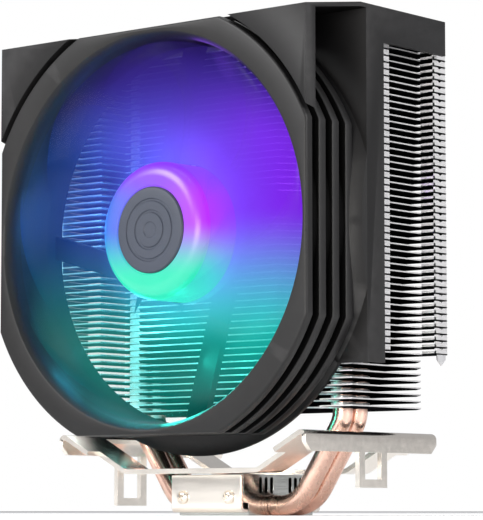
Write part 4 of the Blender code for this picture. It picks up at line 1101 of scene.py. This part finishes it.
def make_fin_stack(name, outline, tabs, tips, first_z, count, replaced):
    """Fins with their folded tabs, stacked up, and the pointed tips below the first one."""
    work = fin_mesh(outline)
    for tab in tabs:
        add_plate(work, *tab)
    mesh = mesh_from(name, work)
    mesh.transform(Matrix.Translation((0.0, 0.0, first_z)))
    stack = add_piece(name, mesh, TOWER, material_of("fin_sheet"), replaced, smooth=35.0)
    array = stack.modifiers.new("Fins", "ARRAY")
    array.count = count
    array.use_relative_offset = False
    array.use_constant_offset = True
    array.constant_offset_displace = (0.0, 0.0, sizes().fin_pitch)
    array.use_merge_vertices = False
    if tips:
        work = bmesh.new()
        for tip in tips:
            add_plate(work, *tip)
        tip_mesh = mesh_from(name + "_tips", work)
        tip_mesh.transform(Matrix.Translation((0.0, 0.0, first_z)))
        add_piece(name + "_tips", tip_mesh, TOWER, material_of("fin_tab"), replaced)


def add_plate(work, outline, low, high, axis):
    """Thin plate from an outline, thick along one axis."""
    near, far = ([work.verts.new(along_axis(axis, u, v, w)) for u, v in outline] for w in (low, high))
    work.faces.new(near)
    work.faces.new(far)
    join_rings(work, [near, far])


FRONT_EAR_END_Y = -7.0 * MM
REAR_EAR_START_Y = 15.2 * MM


def fin_outlines():
    """Outlines of a lower and an upper fin: notched ahead of the pipes, the upper with four ears."""
    corner_cut = 6.6 * MM
    notch_floor = -PIPE_Y - PIPE_RADIUS - 1.2 * MM
    notch_out = PIPE_LEG_X + 3.2 * MM
    notch_in = PIPE_LEG_X - 3.2 * MM
    notch_mouth = PIPE_LEG_X - 12.5 * MM
    notch = [(notch_mouth, FIN_FRONT_Y), (notch_in, notch_floor), (notch_out, notch_floor),
             (notch_out, FIN_FRONT_Y)]
    lower = notch + [(FIN_WAIST_X, FIN_FRONT_Y), (FIN_WAIST_X, FIN_REAR_Y - corner_cut),
                     (FIN_WAIST_X - corner_cut, FIN_REAR_Y)]
    upper = notch + [(FIN_EAR_X, FIN_FRONT_Y), (FIN_EAR_X, FRONT_EAR_END_Y), (FIN_WAIST_X, FRONT_EAR_END_Y),
                     (FIN_WAIST_X, REAR_EAR_START_Y), (FIN_EAR_X, REAR_EAR_START_Y), (FIN_EAR_X, FIN_REAR_Y)]
    return [right + [(-x, y) for x, y in reversed(right)] for right in (lower, upper)]


def fin_tabs():
    """Plates folded up at the ears, and the pointed tips that hang below the lowest upper fin."""
    s = sizes()
    sheet = 0.35 * MM
    high = s.fin_pitch - s.tab_gap
    notch = 0.5 * MM
    middle = (REAR_EAR_START_Y + FIN_REAR_Y) / 2.0
    rear_tab = [(REAR_EAR_START_Y, 0.0), (FIN_REAR_Y, 0.0), (FIN_REAR_Y, high), (middle + 2.0 * notch, high),
                (middle, high - notch), (middle - 2.0 * notch, high), (REAR_EAR_START_Y, high)]
    front_tab = [(FIN_FRONT_Y, 0.0), (FRONT_EAR_END_Y, 0.0), (FRONT_EAR_END_Y, high), (FIN_FRONT_Y, high)]
    lip = s.fin_thickness + 0.70 * MM
    waist_lip = [(FIN_WAIST_X, 0.0), (FIN_EAR_X, 0.0), (FIN_EAR_X, lip), (FIN_WAIST_X, lip)]
    tip_low = -3.2 * MM
    tip_shoulder = tip_low * 0.45
    tip_inset = 0.9 * MM
    tip_start = REAR_EAR_START_Y + tip_inset
    tip_end = FIN_REAR_Y - tip_inset
    tip = [(tip_start, 0.0), (tip_start, tip_shoulder), (middle, tip_low), (tip_end, tip_shoulder),
           (tip_end, 0.0)]
    tabs = []
    tips = []
    for side in (-1, 1):
        near, far = sorted((side * (FIN_EAR_X - sheet), side * FIN_EAR_X))
        tabs.append((rear_tab, near, far, "X"))
        tabs.append((front_tab, near, far, "X"))
        tabs.append(([(side * x, z) for x, z in waist_lip], REAR_EAR_START_Y, REAR_EAR_START_Y + sheet, "Y"))
        tips.append((tip, near, far, "X"))
    return tabs, tips


def make_fins():
    pitch = sizes().fin_pitch
    lower, upper = fin_outlines()
    tabs, tips = fin_tabs()
    lower_count = round((UPPER_LOW.z - LOWER_LOW.z) / pitch)
    upper_count = round((UPPER_HIGH.z - UPPER_LOW.z) / pitch + 0.25)
    make_fin_stack("lower_fins", lower, (), (), LOWER_LOW.z, lower_count, ("lower_fin_stack",))
    make_fin_stack("upper_fins", upper, tabs, tips, UPPER_LOW.z, upper_count, ("upper_fin_stack",))


# ---------------------------------------------------------------- fan frame
def flat_reach(turn):
    """How far the fan's square outline is from its axis in one direction."""
    return FAN_HALF / max(abs(math.cos(turn)), abs(math.sin(turn)))


def clipped_ring_mesh(name, profile, steps_per_arc):
    """Turned shape held inside the fan's square; each point is (radius, depth, inset)."""
    outer = max(radius for radius, depth, inset in profile)
    key_turn = math.acos(FAN_HALF / outer)
    turns = []
    for quarter in range(4):
        base = quarter * math.pi / 2.0
        for low, high in ((-key_turn, key_turn), (key_turn, math.pi / 2.0 - key_turn)):
            for step in range(steps_per_arc):
                turns.append(base + low + (high - low) * step / steps_per_arc)
    work = bmesh.new()
    profiles = []
    for turn in turns:
        points = [(min(radius, flat_reach(turn) - inset), depth) for radius, depth, inset in profile]
        profiles.append([work.verts.new((r * math.cos(turn), r * math.sin(turn), -depth))
                         for r, depth in points])
    join_profiles(work, profiles)
    return mesh_from(name, work)


def shade_ring_gaps(mesh):
    """Painted shade: darker, duller plastic on the faces in the gaps between the ribs."""
    s = sizes()
    duct_depth = FAN_HALF - s.bore_inset + s.duct_wall - 1.0 * MM
    least_inside = 0.25 * MM
    mesh.materials.append(material_of("painted_shade_plastic"))
    for face in mesh.polygons:
        middle = face.center
        radius = math.hypot(middle.x, middle.y)
        limit = flat_reach(math.atan2(middle.y, middle.x))
        inside = min(limit, FAN_HALF + s.corner_reach) - radius
        behind_flange = -middle.z > s.rib_thickness - HAIR
        outward = middle.x * face.normal.x + middle.y * face.normal.y > 0.0
        if radius > duct_depth and inside > least_inside and behind_flange:
            if abs(face.normal.z) > 0.5 or outward:
                # painted shade on faces deep in the gaps
                face.material_index = 1


def motor_seat_mesh():
    """Round seat behind the motor, with a strut to each side of the duct."""
    s = sizes()
    seat_radius = s.hub_radius - 0.5 * MM
    seat_front = FAN_DEPTH - STRUT_THICKNESS
    ease = 0.4 * MM
    core = 4.6 * MM
    sleeve = 5.0 * MM
    sleeve_front = 9.2 * MM
    sleeve_top = 0.1 * MM
    core_floor = seat_front + 0.3 * MM
    strut_half = 3.5 * MM
    struts = 4
    start = Vector((12.0 * MM, 4.0 * MM - seat_radius))
    end = Vector((0.0, -(FAN_HALF - s.bore_inset) - s.duct_wall / 2.0))
    along = (end - start).normalized()
    across = Vector((-along.y, along.x)) * strut_half
    bar = [start - across, end - across, end + across, start + across]
    bars = []
    for number in range(struts):
        turn = Matrix.Rotation(number * 2.0 * math.pi / struts, 2)
        bars.append([tuple(turn @ corner) for corner in bar])
    profile = [(0.0, core_floor), (core, core_floor), (sleeve - sleeve_top, sleeve_front),
               (sleeve, sleeve_front), (sleeve, seat_front), (seat_radius - ease, seat_front),
               (seat_radius, seat_front + ease), (seat_radius, FAN_DEPTH - ease),
               (seat_radius - ease, FAN_DEPTH), (0.0, FAN_DEPTH)]
    seat = turned_mesh("motor_seat", profile, 96)
    strut_bars = prism_mesh("struts", bars, 0.1 * MM - FAN_DEPTH, STRUT_THICKNESS - FAN_DEPTH)
    return combined("motor_seat_struts", seat, [("UNION", strut_bars)])


def frame_profile():
    """Front flange with a rounded mouth, ribs with eased edges, duct and bore."""
    s = sizes()
    outer = FAN_HALF + s.corner_reach
    mouth = FAN_HALF - s.mouth_rim
    bore = FAN_HALF - s.bore_inset
    duct = bore + s.duct_wall
    ease = 0.3 * MM
    front_ease = 0.8 * MM
    ease_steps = 4
    mouth_curve = ((0.0, 4.5), (0.2, 2.9), (0.7, 1.6), (1.3, 0.6))
    points = [(mouth + 0.25 * MM, 0.0, 0.9 * MM)]
    for step in range(ease_steps + 1):
        angle = step / ease_steps * math.pi / 2.0
        reach = front_ease * (1.0 - math.sin(angle))
        points.append((outer - reach, front_ease * (1.0 - math.cos(angle)), reach))
    for rib in range(s.ribs):
        rear = rib * s.rib_pitch + s.rib_thickness
        points += [(outer, rear - ease, 0.0), (outer - ease * 0.3, rear - ease * 0.3, ease * 0.3),
                   (outer - ease, rear, ease)]
        if rib == s.ribs - 1:
            break
        following = (rib + 1) * s.rib_pitch
        points += [(duct + ease, rear, 0.0), (duct, rear + ease, 0.0), (duct, following - ease, 0.0),
                   (duct + ease, following, 0.0), (outer - ease, following, ease),
                   (outer - ease * 0.3, following + ease * 0.3, ease * 0.3), (outer, following + ease, 0.0)]
    rear = (s.ribs - 1) * s.rib_pitch + s.rib_thickness
    points += [(duct, rear, 0.0), (duct, FAN_DEPTH, 0.0), (bore, FAN_DEPTH, 0.0)]
    points += [(bore + out * MM, depth * MM, 0.0) for out, depth in mouth_curve]
    points.append((mouth - 0.3 * MM, 0.15 * MM, 1.2 * MM))
    return points


def make_frame_piece():
    mesh = clipped_ring_mesh("fan_frame_ring", frame_profile(), 40)
    add_piece("fan_frame_ring", mesh, TOWER, material_of("frame_plastic"), ("fan_frame",),
              at_fan=True, smooth=32.0)
    shade_ring_gaps(mesh)
    piece = add_piece("motor_seat_struts", motor_seat_mesh(), TOWER,
                      material_of("frame_plastic"), ("fan_frame",), at_fan=True)
    soften(piece, sizes().edge_round * 0.6, 2)


# ---------------------------------------------------------------- rotor
def blade_point(span, chord, centre):
    """Point on a blade's middle surface; span 0..1 from hub to tip, chord -0.5..0.5."""
    s = sizes()
    root = s.hub_radius - 0.4 * MM
    tip = FAN_HALF - s.bore_inset - 0.8 * MM
    root_chord = 24.0 * MM
    tip_chord = 48.0 * MM
    root_pitch = 40.0
    tip_pitch = 17.0
    camber_share = 0.07
    middle_depth = 10.6 * MM
    sweep = math.radians(24.0)
    radius = root + (tip - root) * span
    width = root_chord + (tip_chord - root_chord) * span
    pitch = math.radians(root_pitch + (tip_pitch - root_pitch) * span)
    run = chord * width * math.cos(pitch)
    camber = camber_share * width * (1.0 - 4.0 * chord * chord)
    depth = middle_depth + chord * width * math.sin(pitch) - camber
    angle = centre + sweep * span * span + run / radius
    return Vector((radius * math.cos(angle), radius * math.sin(angle), -depth))


def make_haze():
    """Soft lit haze that the spinning blades leave: two shallow dished sheets."""
    s = sizes()
    tip = FAN_HALF - s.bore_inset - 0.9 * MM
    root = s.hub_radius + 0.15 * MM
    radial = 24
    around = 96
    sheets = (("blade_haze_1", 5.2 * MM, 1.6 * MM, "front_haze"),
              ("blade_haze_2", 16.8 * MM, -1.2 * MM, "rear_haze"))
    for name, depth, dish, finish in sheets:
        work = bmesh.new()
        join_rings(work, [ring_verts(work, root + (tip - root) * i / radial, around,
                                     -depth + dish * math.sin(math.pi * i / radial))
                          for i in range(radial + 1)])
        piece = add_piece(name, mesh_from("blade_haze", work, False), ROTOR,
                          material_of(finish), ("impeller",), at_fan=True, smooth=60.0)
        thicken(piece, 0.1 * MM)


def make_blades():
    s = sizes()
    span_steps = 16
    chord_steps = 20
    work = bmesh.new()
    uv = work.loops.layers.uv.new("UVMap")
    for blade in range(s.blades):
        centre = 2.0 * math.pi * blade / s.blades
        grid = [[work.verts.new(blade_point(i / span_steps, j / chord_steps - 0.5, centre))
                 for j in range(chord_steps + 1)] for i in range(span_steps + 1)]
        for i in range(span_steps):
            for j in range(chord_steps):
                corners = ((i, j), (i + 1, j), (i + 1, j + 1), (i, j + 1))
                face = work.faces.new([grid[a][b] for a, b in corners])
                for loop, (a, b) in zip(face.loops, corners):
                    loop[uv].uv = (a / span_steps, b / chord_steps)
    blades = add_piece("rotor_blades", mesh_from("rotor_blades", work, False), ROTOR,
                       material_of("blade_glow"), ("impeller",), at_fan=True, smooth=60.0)
    thicken(blades, s.blade_thickness)


def make_hub():
    """Lit hub cup with a big rounded rim, and the grooved cap in its recess."""
    s = sizes()
    radius = s.hub_radius
    face = s.hub_front
    wall = 1.5 * MM
    floor = face + 1.2 * MM
    rear = FAN_DEPTH - STRUT_THICKNESS - 0.6 * MM
    rim_round = 4.5 * MM
    rim_steps = 8
    ease = 0.3 * MM
    recess = CAP_RADIUS + 0.3 * MM
    profile = [(0.0, floor), (recess, floor), (recess, face + ease), (recess + ease, face)]
    for step in range(rim_steps + 1):
        angle = step / rim_steps * math.pi / 2.0
        profile.append((radius - rim_round * (1.0 - math.sin(angle)),
                        face + rim_round * (1.0 - math.cos(angle))))
    profile += [(radius, rear - ease), (radius - ease, rear), (radius - wall, rear),
                (radius - wall, floor + wall), (0.0, floor + wall)]
    add_piece("rotor_hub", turned_mesh("rotor_hub", profile, 128), ROTOR,
              material_of("hub_glow"), ("impeller",), at_fan=True, smooth=35.0)
    disc = turned_mesh("hub_cap_disc", cap_profile(face - 0.1 * MM, floor - 0.15 * MM), 128)
    add_piece("hub_cap_disc", disc, ROTOR, material_of("cap_plastic"), ("hub_cap",), at_fan=True,
              smooth=35.0)


def cap_profile(front, rear):
    """Disc with a dimple in the middle, two shallow grooves and an eased edge."""
    dimple = 2.2 * MM
    dimple_depth = 0.25 * MM
    slope = 0.25 * MM
    groove_width = 1.0 * MM
    groove_depth = 0.3 * MM
    points = [(0.0, front + dimple_depth), (dimple, front + dimple_depth), (dimple + 0.3 * MM, front)]
    for groove in (5.0 * MM, 8.4 * MM):
        points += [(groove, front), (groove + slope, front + groove_depth),
                   (groove + groove_width - slope, front + groove_depth), (groove + groove_width, front)]
    points += [(CAP_RADIUS - 1.2 * MM, front), (CAP_RADIUS - 0.4 * MM, front + 0.1 * MM),
               (CAP_RADIUS, front + 0.5 * MM), (CAP_RADIUS, rear), (0.0, rear)]
    return points


# ---------------------------------------------------------------- cover
def flare_mesh(name, inset_side, inset_top, bottom, front, rear):
    """Flared box in fan axes: fan-sized at the front, wider from the flare's end to the rear."""
    s = sizes()
    depths = [front, rear]
    if front < s.flare_depth:
        depths.insert(1, s.flare_depth)
    work = bmesh.new()
    rings = []
    for depth in depths:
        reach = cover_reach(depth)
        side = reach - inset_side
        top = reach - inset_top
        corners = ((-side, -bottom), (side, -bottom), (side, top), (-side, top))
        rings.append([work.verts.new((x, y, -depth)) for x, y in corners])
    join_rings(work, rings)
    work.faces.new(rings[0])
    work.faces.new(rings[-1])
    return mesh_from(name, work)


def cover_reach(depth):
    """Half width of the cover at a depth behind the fan's front."""
    s = sizes()
    return FAN_HALF + s.cover_flare * min(depth / s.flare_depth, 1.0)


def collar_mesh(seat, rim, duct, seat_front, bulkhead_rear, sides):
    """Coned collar between the last rib and the bulkhead, trimmed to the cover's inside."""
    s = sizes()
    past = 2.0 * MM
    flange = bulkhead_rear - 0.1 * MM
    throat = duct + 0.35 * MM
    profile = [(seat, collar_depth(seat)), (rim, collar_depth(rim)), (rim, flange), (throat, flange),
               (throat, seat_front), (seat, seat_front)]
    trim = box_mesh("trim", (-COVER_HALF, -FAN_HALF - s.corner_reach - past, -bulkhead_rear - past),
                    (COVER_HALF, COVER_HALF - s.cover_wall / 2.0, -s.front_plate))
    return combined("collar", turned_mesh("collar", profile, sides), [("INTERSECT", trim)])


def collar_depth(radius):
    """Depth of the collar's coned face, 19.6 mm at the fan's flats."""
    slope = 0.8
    return 19.6 * MM + (radius - FAN_HALF) * slope


def make_cover_piece():
    """Flared cover: front corner plates, bays, bulkhead with its collar, and the side windows."""
    s = sizes()
    wall = s.cover_wall
    plate = s.front_plate
    past = 2.0 * MM
    bulkhead = FAN_DEPTH + 0.2 * MM
    bulkhead_rear = bulkhead + 1.6 * MM
    band_rear = bulkhead_rear + 6.7 * MM
    bottom = 40.0 * MM
    below = bottom + 4.0 * MM
    half = COVER_HALF + past
    window_top = 52.7 * MM
    plate_bottom = 25.0 * MM
    outer = FAN_HALF + s.corner_reach
    duct = FAN_HALF - s.bore_inset + s.duct_wall
    seat_front = (s.ribs - 1) * s.rib_pitch + s.rib_thickness + 0.3 * MM
    rim = outer - 0.2 * MM
    sides = 192
    side_way = plate + 5.0 * MM
    collar = collar_mesh(duct + 1.0 * MM, rim, duct, seat_front, bulkhead_rear, sides)
    clearance = circle_points(outer + 1.6 * MM, sides)
    steps = (
        ("DIFFERENCE", flare_mesh("front_bay", -side_way, wall, below, plate, bulkhead)),
        ("DIFFERENCE", flare_mesh("fin_bay", wall, wall, below, bulkhead_rear, COVER_DEPTH + past)),
        ("DIFFERENCE", box_mesh("side_windows", (-half, -below, -COVER_DEPTH - past),
                                (half, window_top, -band_rear))),
        ("DIFFERENCE", box_mesh("front_lower", (-half, -below, -plate - 0.1 * MM),
                                (half, plate_bottom, past))),
        ("DIFFERENCE", prism_mesh("flange_clearance", [clearance], -plate - past, past)),
        ("UNION", collar),
    )
    hole = prism_mesh("duct_hole", [circle_points(duct + 0.3 * MM, sides)], -bulkhead_rear - past, -plate)
    shell = flare_mesh("shell", 0.0, 0.0, bottom, 0.0, COVER_DEPTH)
    mesh = combined("cover_shell_body", shell, steps)
    mesh = combined("cover_shell_body", mesh, [("DIFFERENCE", hole)], rounding=s.edge_round)
    add_piece("cover_shell_body", mesh, TOWER, material_of("charcoal_plastic"),
              ("cover_shell",), at_fan=True)
    shade_corner_bays(mesh, bulkhead, rim)


def shade_corner_bays(mesh, bulkhead, rim):
    """Painted shade: darker, duller plastic on the faces behind the front corner plates, but not on the
    collar's cone.
    """
    inset = 0.3 * MM
    cone_front = 19.0 * MM
    mesh.materials.append(material_of("painted_shade_plastic"))
    for face in mesh.polygons:
        middle = face.center
        depth = -middle.z
        reach = cover_reach(depth) - inset
        behind_plates = sizes().front_plate - HAIR < depth < bulkhead + HAIR
        cone = math.hypot(middle.x, middle.y) < rim + inset and depth > cone_front
        if behind_plates and not cone and abs(middle.x) < reach and middle.y < reach:
            if abs(face.normal.y) > 0.5 or face.normal.z > -0.5:
                # painted shade on faces in the bays behind the plates
                face.material_index = 1


# ---------------------------------------------------------------- inner pieces kept from the frame
INNER_FINISHES = (
    ("yoke_steel", ("rotor_yoke", "rotor_shaft")),
    ("ferrite", ("magnet_ring",)),
    ("sintered_bronze", ("bearing_sleeve",)),
    ("nylon", ("retaining_clip",)),
    ("lamination_steel", ("stator_core",)),
    ("enamelled_wire", tuple("stator_coil_%d" % number for number in range(1, 5))),
    ("solder_mask", ("driver_board",)),
    ("led_lens", tuple("led_%d" % number for number in range(1, 5))),
    ("black_oxide", tuple("fan_screw_%d" % number for number in range(1, 5))),
)


def finish_inner_nodes():
    for finish, nodes in INNER_FINISHES:
        for node in nodes:
            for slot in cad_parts[node].material_slots:
                slot.material = material_of(finish)


# ---------------------------------------------------------------- stage
def place_lamp(name, kind, energy, tint, place):
    """A lamp of one kind, in the scene; returns its object."""
    lamp = bpy.data.lights.new(name, kind)
    lamp.energy = energy
    lamp.color = tint
    item = bpy.data.objects.new(name, lamp)
    item.location = place
    bpy.context.scene.collection.objects.link(item)
    return item


def add_area(name, place, aim, size, energy, tint=(1.0, 1.0, 1.0)):
    item = place_lamp(name, "AREA", energy, tint, place)
    item.data.shape = "RECTANGLE"
    item.data.size, item.data.size_y = size
    item.rotation_euler = (Vector(aim) - Vector(place)).to_track_quat("-Z", "Y").to_euler()


def add_glow_lamps(lamps, depth):
    """Small lamps at one depth in the fan; each is (name, x, height, energy, tint) in mm and watts."""
    for name, x, height, energy, tint in lamps:
        item = place_lamp(name, "POINT", energy, tint, (x * MM, FAN_FRONT_Y + depth, FAN_Z + height * MM))
        item.data.shadow_soft_size = 6.0 * MM


FIN_LAMPS = (
    ("glow_left", -38.0, 6.0, 0.02, (0.08, 0.35, 1.0)),
    ("glow_bottom", 4.0, -38.0, 0.02, (0.05, 1.0, 0.8)),
    ("glow_low_left", -24.0, -26.0, 0.03, (0.1, 0.9, 1.0)),
    ("glow_right", 34.0, 14.0, 0.012, (0.45, 0.1, 1.0)),
)
RIM_LAMPS = (
    ("ring_left", -49.0, 6.0, 0.004, (0.05, 0.25, 1.0)),
    ("ring_low_left", -36.0, -34.0, 0.007, (0.05, 0.7, 1.0)),
    ("ring_bottom", 2.0, -49.0, 0.020, (0.05, 1.0, 0.75)),
    ("ring_top_left", -30.0, 38.0, 0.003, (0.1, 0.15, 1.0)),
    ("ring_top", 12.0, 48.0, 0.006, (0.3, 0.1, 1.0)),
)


def make_camera():
    """Long lens close to the floor, turned left and a little up."""
    turn = math.radians(39.853)
    rise = math.radians(5.450)
    place = Vector((0.5116, -0.6152, 0.0015))
    forward = Vector((-math.sin(turn) * math.cos(rise), math.cos(turn) * math.cos(rise), math.sin(rise)))
    data = bpy.data.cameras.new("camera")
    data.sensor_fit = "VERTICAL"
    data.sensor_height = 36.0
    data.lens = 181.75
    data.clip_start = 0.01
    data.clip_end = 20.0
    camera = bpy.data.objects.new("camera", data)
    camera.location = place
    camera.rotation_euler = forward.to_track_quat("-Z", "Y").to_euler()
    bpy.context.scene.collection.objects.link(camera)
    bpy.context.scene.camera = camera


def make_world():
    """White studio: full white behind the object, softer on it."""
    world = bpy.data.worlds.new("studio")
    bpy.context.scene.world = world
    world.use_nodes = True
    tree = world.node_tree
    tree.nodes.clear()
    out = tree.nodes.new("ShaderNodeOutputWorld")
    seen = tree.nodes.new("ShaderNodeBackground")
    seen.inputs["Color"].default_value = (1.0, 1.0, 1.0, 1.0)
    lit = tree.nodes.new("ShaderNodeBackground")
    lit.inputs["Color"].default_value = (0.96, 0.97, 1.0, 1.0)
    lit.inputs["Strength"].default_value = 0.42
    path = tree.nodes.new("ShaderNodeLightPath")
    mix = tree.nodes.new("ShaderNodeMixShader")
    tree.links.new(path.outputs["Is Camera Ray"], mix.inputs[0])
    tree.links.new(lit.outputs[0], mix.inputs[1])
    tree.links.new(seen.outputs[0], mix.inputs[2])
    tree.links.new(mix.outputs[0], out.inputs["Surface"])


def make_floor():
    """Wide, flat, pale floor."""
    reach = 3.0
    work = bmesh.new()
    work.faces.new([work.verts.new((x, y, 0.0))
                    for x, y in ((-reach, -reach), (reach, -reach), (reach, reach), (-reach, reach))])
    mesh = mesh_from("studio_floor", work)
    mesh.materials.append(material_of("studio_floor"))
    add_object("studio_floor", mesh)


# ---------------------------------------------------------------- operators
class COOLER_OT_stage(Operator):
    """Camera, floor, world and lights"""
    bl_idname = "cooler.stage"
    bl_label = "Set the stage"

    def execute(self, context):
        context.scene.view_settings.view_transform = "Standard"
        context.scene.view_settings.look = "None"
        make_camera()
        make_world()
        make_floor()
        add_area("key_light", (-0.5, -0.9, 0.75), (0.0, 0.0, 0.08), (0.6, 0.6), 17.0)
        add_area("side_light", (1.1, 0.1, 0.55), (0.0, 0.0, 0.08), (0.5, 0.9), 11.0)
        add_area("top_light", (0.0, 0.1, 1.1), (0.0, 0.0, 0.1), (0.7, 0.7), 5.0)
        add_glow_lamps(FIN_LAMPS, 21.5 * MM)
        add_area("low_light", (0.25, -0.8, 0.10), (0.0, 0.0, 0.02), (0.5, 0.15), 5.0, (1.0, 0.97, 0.92))
        add_glow_lamps(RIM_LAMPS, 9.0 * MM)
        return {"FINISHED"}


class COOLER_OT_base(Operator):
    """Base block, its clamps and screws"""
    bl_idname = "cooler.base"
    bl_label = "Make the base"

    def execute(self, context):
        make_base_block_piece()
        make_clamp("base_clamp_front", -1.0)
        make_clamp("base_clamp_rear", 1.0)
        for number in range(1, 5):
            node = "clamp_screw_%d" % number
            make_cross_screw(node + "_head", node, material_of("nickel_screw"), 0.5 * number)
        return {"FINISHED"}


class COOLER_OT_pipes(Operator):
    """Heat pipes"""
    bl_idname = "cooler.pipes"
    bl_label = "Make the heat pipes"

    def execute(self, context):
        make_pipe("heat_pipe_front", -PIPE_Y)
        make_pipe("heat_pipe_rear", PIPE_Y)
        return {"FINISHED"}


class COOLER_OT_clip(Operator):
    """Sprung mounting clip"""
    bl_idname = "cooler.clip"
    bl_label = "Make the clip"

    def execute(self, context):
        make_clip()
        return {"FINISHED"}


class COOLER_OT_fins(Operator):
    """Fin stacks with their collars and folded tabs"""
    bl_idname = "cooler.fins"
    bl_label = "Make the fins"

    def execute(self, context):
        make_fins()
        return {"FINISHED"}


class COOLER_OT_fan_frame(Operator):
    """Ribbed fan frame with its struts and motor seat"""
    bl_idname = "cooler.fan_frame"
    bl_label = "Make the fan frame"

    def execute(self, context):
        make_frame_piece()
        return {"FINISHED"}


class COOLER_OT_rotor(Operator):
    """Lit blades, hub and cap"""
    bl_idname = "cooler.rotor"
    bl_label = "Make the rotor"

    def execute(self, context):
        make_blades()
        make_haze()
        make_hub()
        return {"FINISHED"}


class COOLER_OT_cover(Operator):
    """Flared cover with its corner plates and duct collar"""
    bl_idname = "cooler.cover"
    bl_label = "Make the cover"

    def execute(self, context):
        make_cover_piece()
        return {"FINISHED"}


class COOLER_OT_motor(Operator):
    """Finishes of the motor and the screws that keep their CAD shape"""
    bl_idname = "cooler.motor"
    bl_label = "Finish the motor"

    def execute(self, context):
        finish_inner_nodes()
        return {"FINISHED"}


OPERATORS = (COOLER_OT_stage, COOLER_OT_base, COOLER_OT_pipes, COOLER_OT_clip, COOLER_OT_fins,
             COOLER_OT_fan_frame, COOLER_OT_rotor, COOLER_OT_cover, COOLER_OT_motor)


class COOLER_PT_panel(Panel):
    """Lists the operators, the sizes and the colours"""
    bl_idname = "COOLER_PT_panel"
    bl_label = "CPU Tower Cooler"
    bl_space_type = "VIEW_3D"
    bl_region_type = "UI"
    bl_category = "Cooler"

    def draw(self, context):
        for operator in OPERATORS:
            self.layout.operator(operator.bl_idname)
        for group in (context.scene.cooler_sizes, context.scene.cooler_colours):
            box = self.layout.box()
            for name in group.__annotations__:
                box.prop(group, name)


CLASSES = (CoolerSizes, CoolerColours, *OPERATORS, COOLER_PT_panel)


def register():
    for item in CLASSES:
        bpy.utils.register_class(item)
    bpy.types.Scene.cooler_sizes = PointerProperty(type=CoolerSizes)
    bpy.types.Scene.cooler_colours = PointerProperty(type=CoolerColours)


def unregister():
    del bpy.types.Scene.cooler_colours
    del bpy.types.Scene.cooler_sizes
    for item in reversed(CLASSES):
        bpy.utils.unregister_class(item)


def build_groups():
    for build in (build_grain_group, build_wear_group, build_gap_shade_group, build_round_glow_group,
                  build_fan_light_group):
        group = build()
        GROUPS[group.name] = group


def main():
    register()
    build_groups()
    bpy.ops.cooler.stage()
    bpy.ops.cooler.base()
    bpy.ops.cooler.pipes()
    bpy.ops.cooler.clip()
    bpy.ops.cooler.fins()
    bpy.ops.cooler.fan_frame()
    bpy.ops.cooler.rotor()
    bpy.ops.cooler.cover()
    bpy.ops.cooler.motor()
    bpy.context.view_layer.update()


if __name__ == "__main__":
    main()
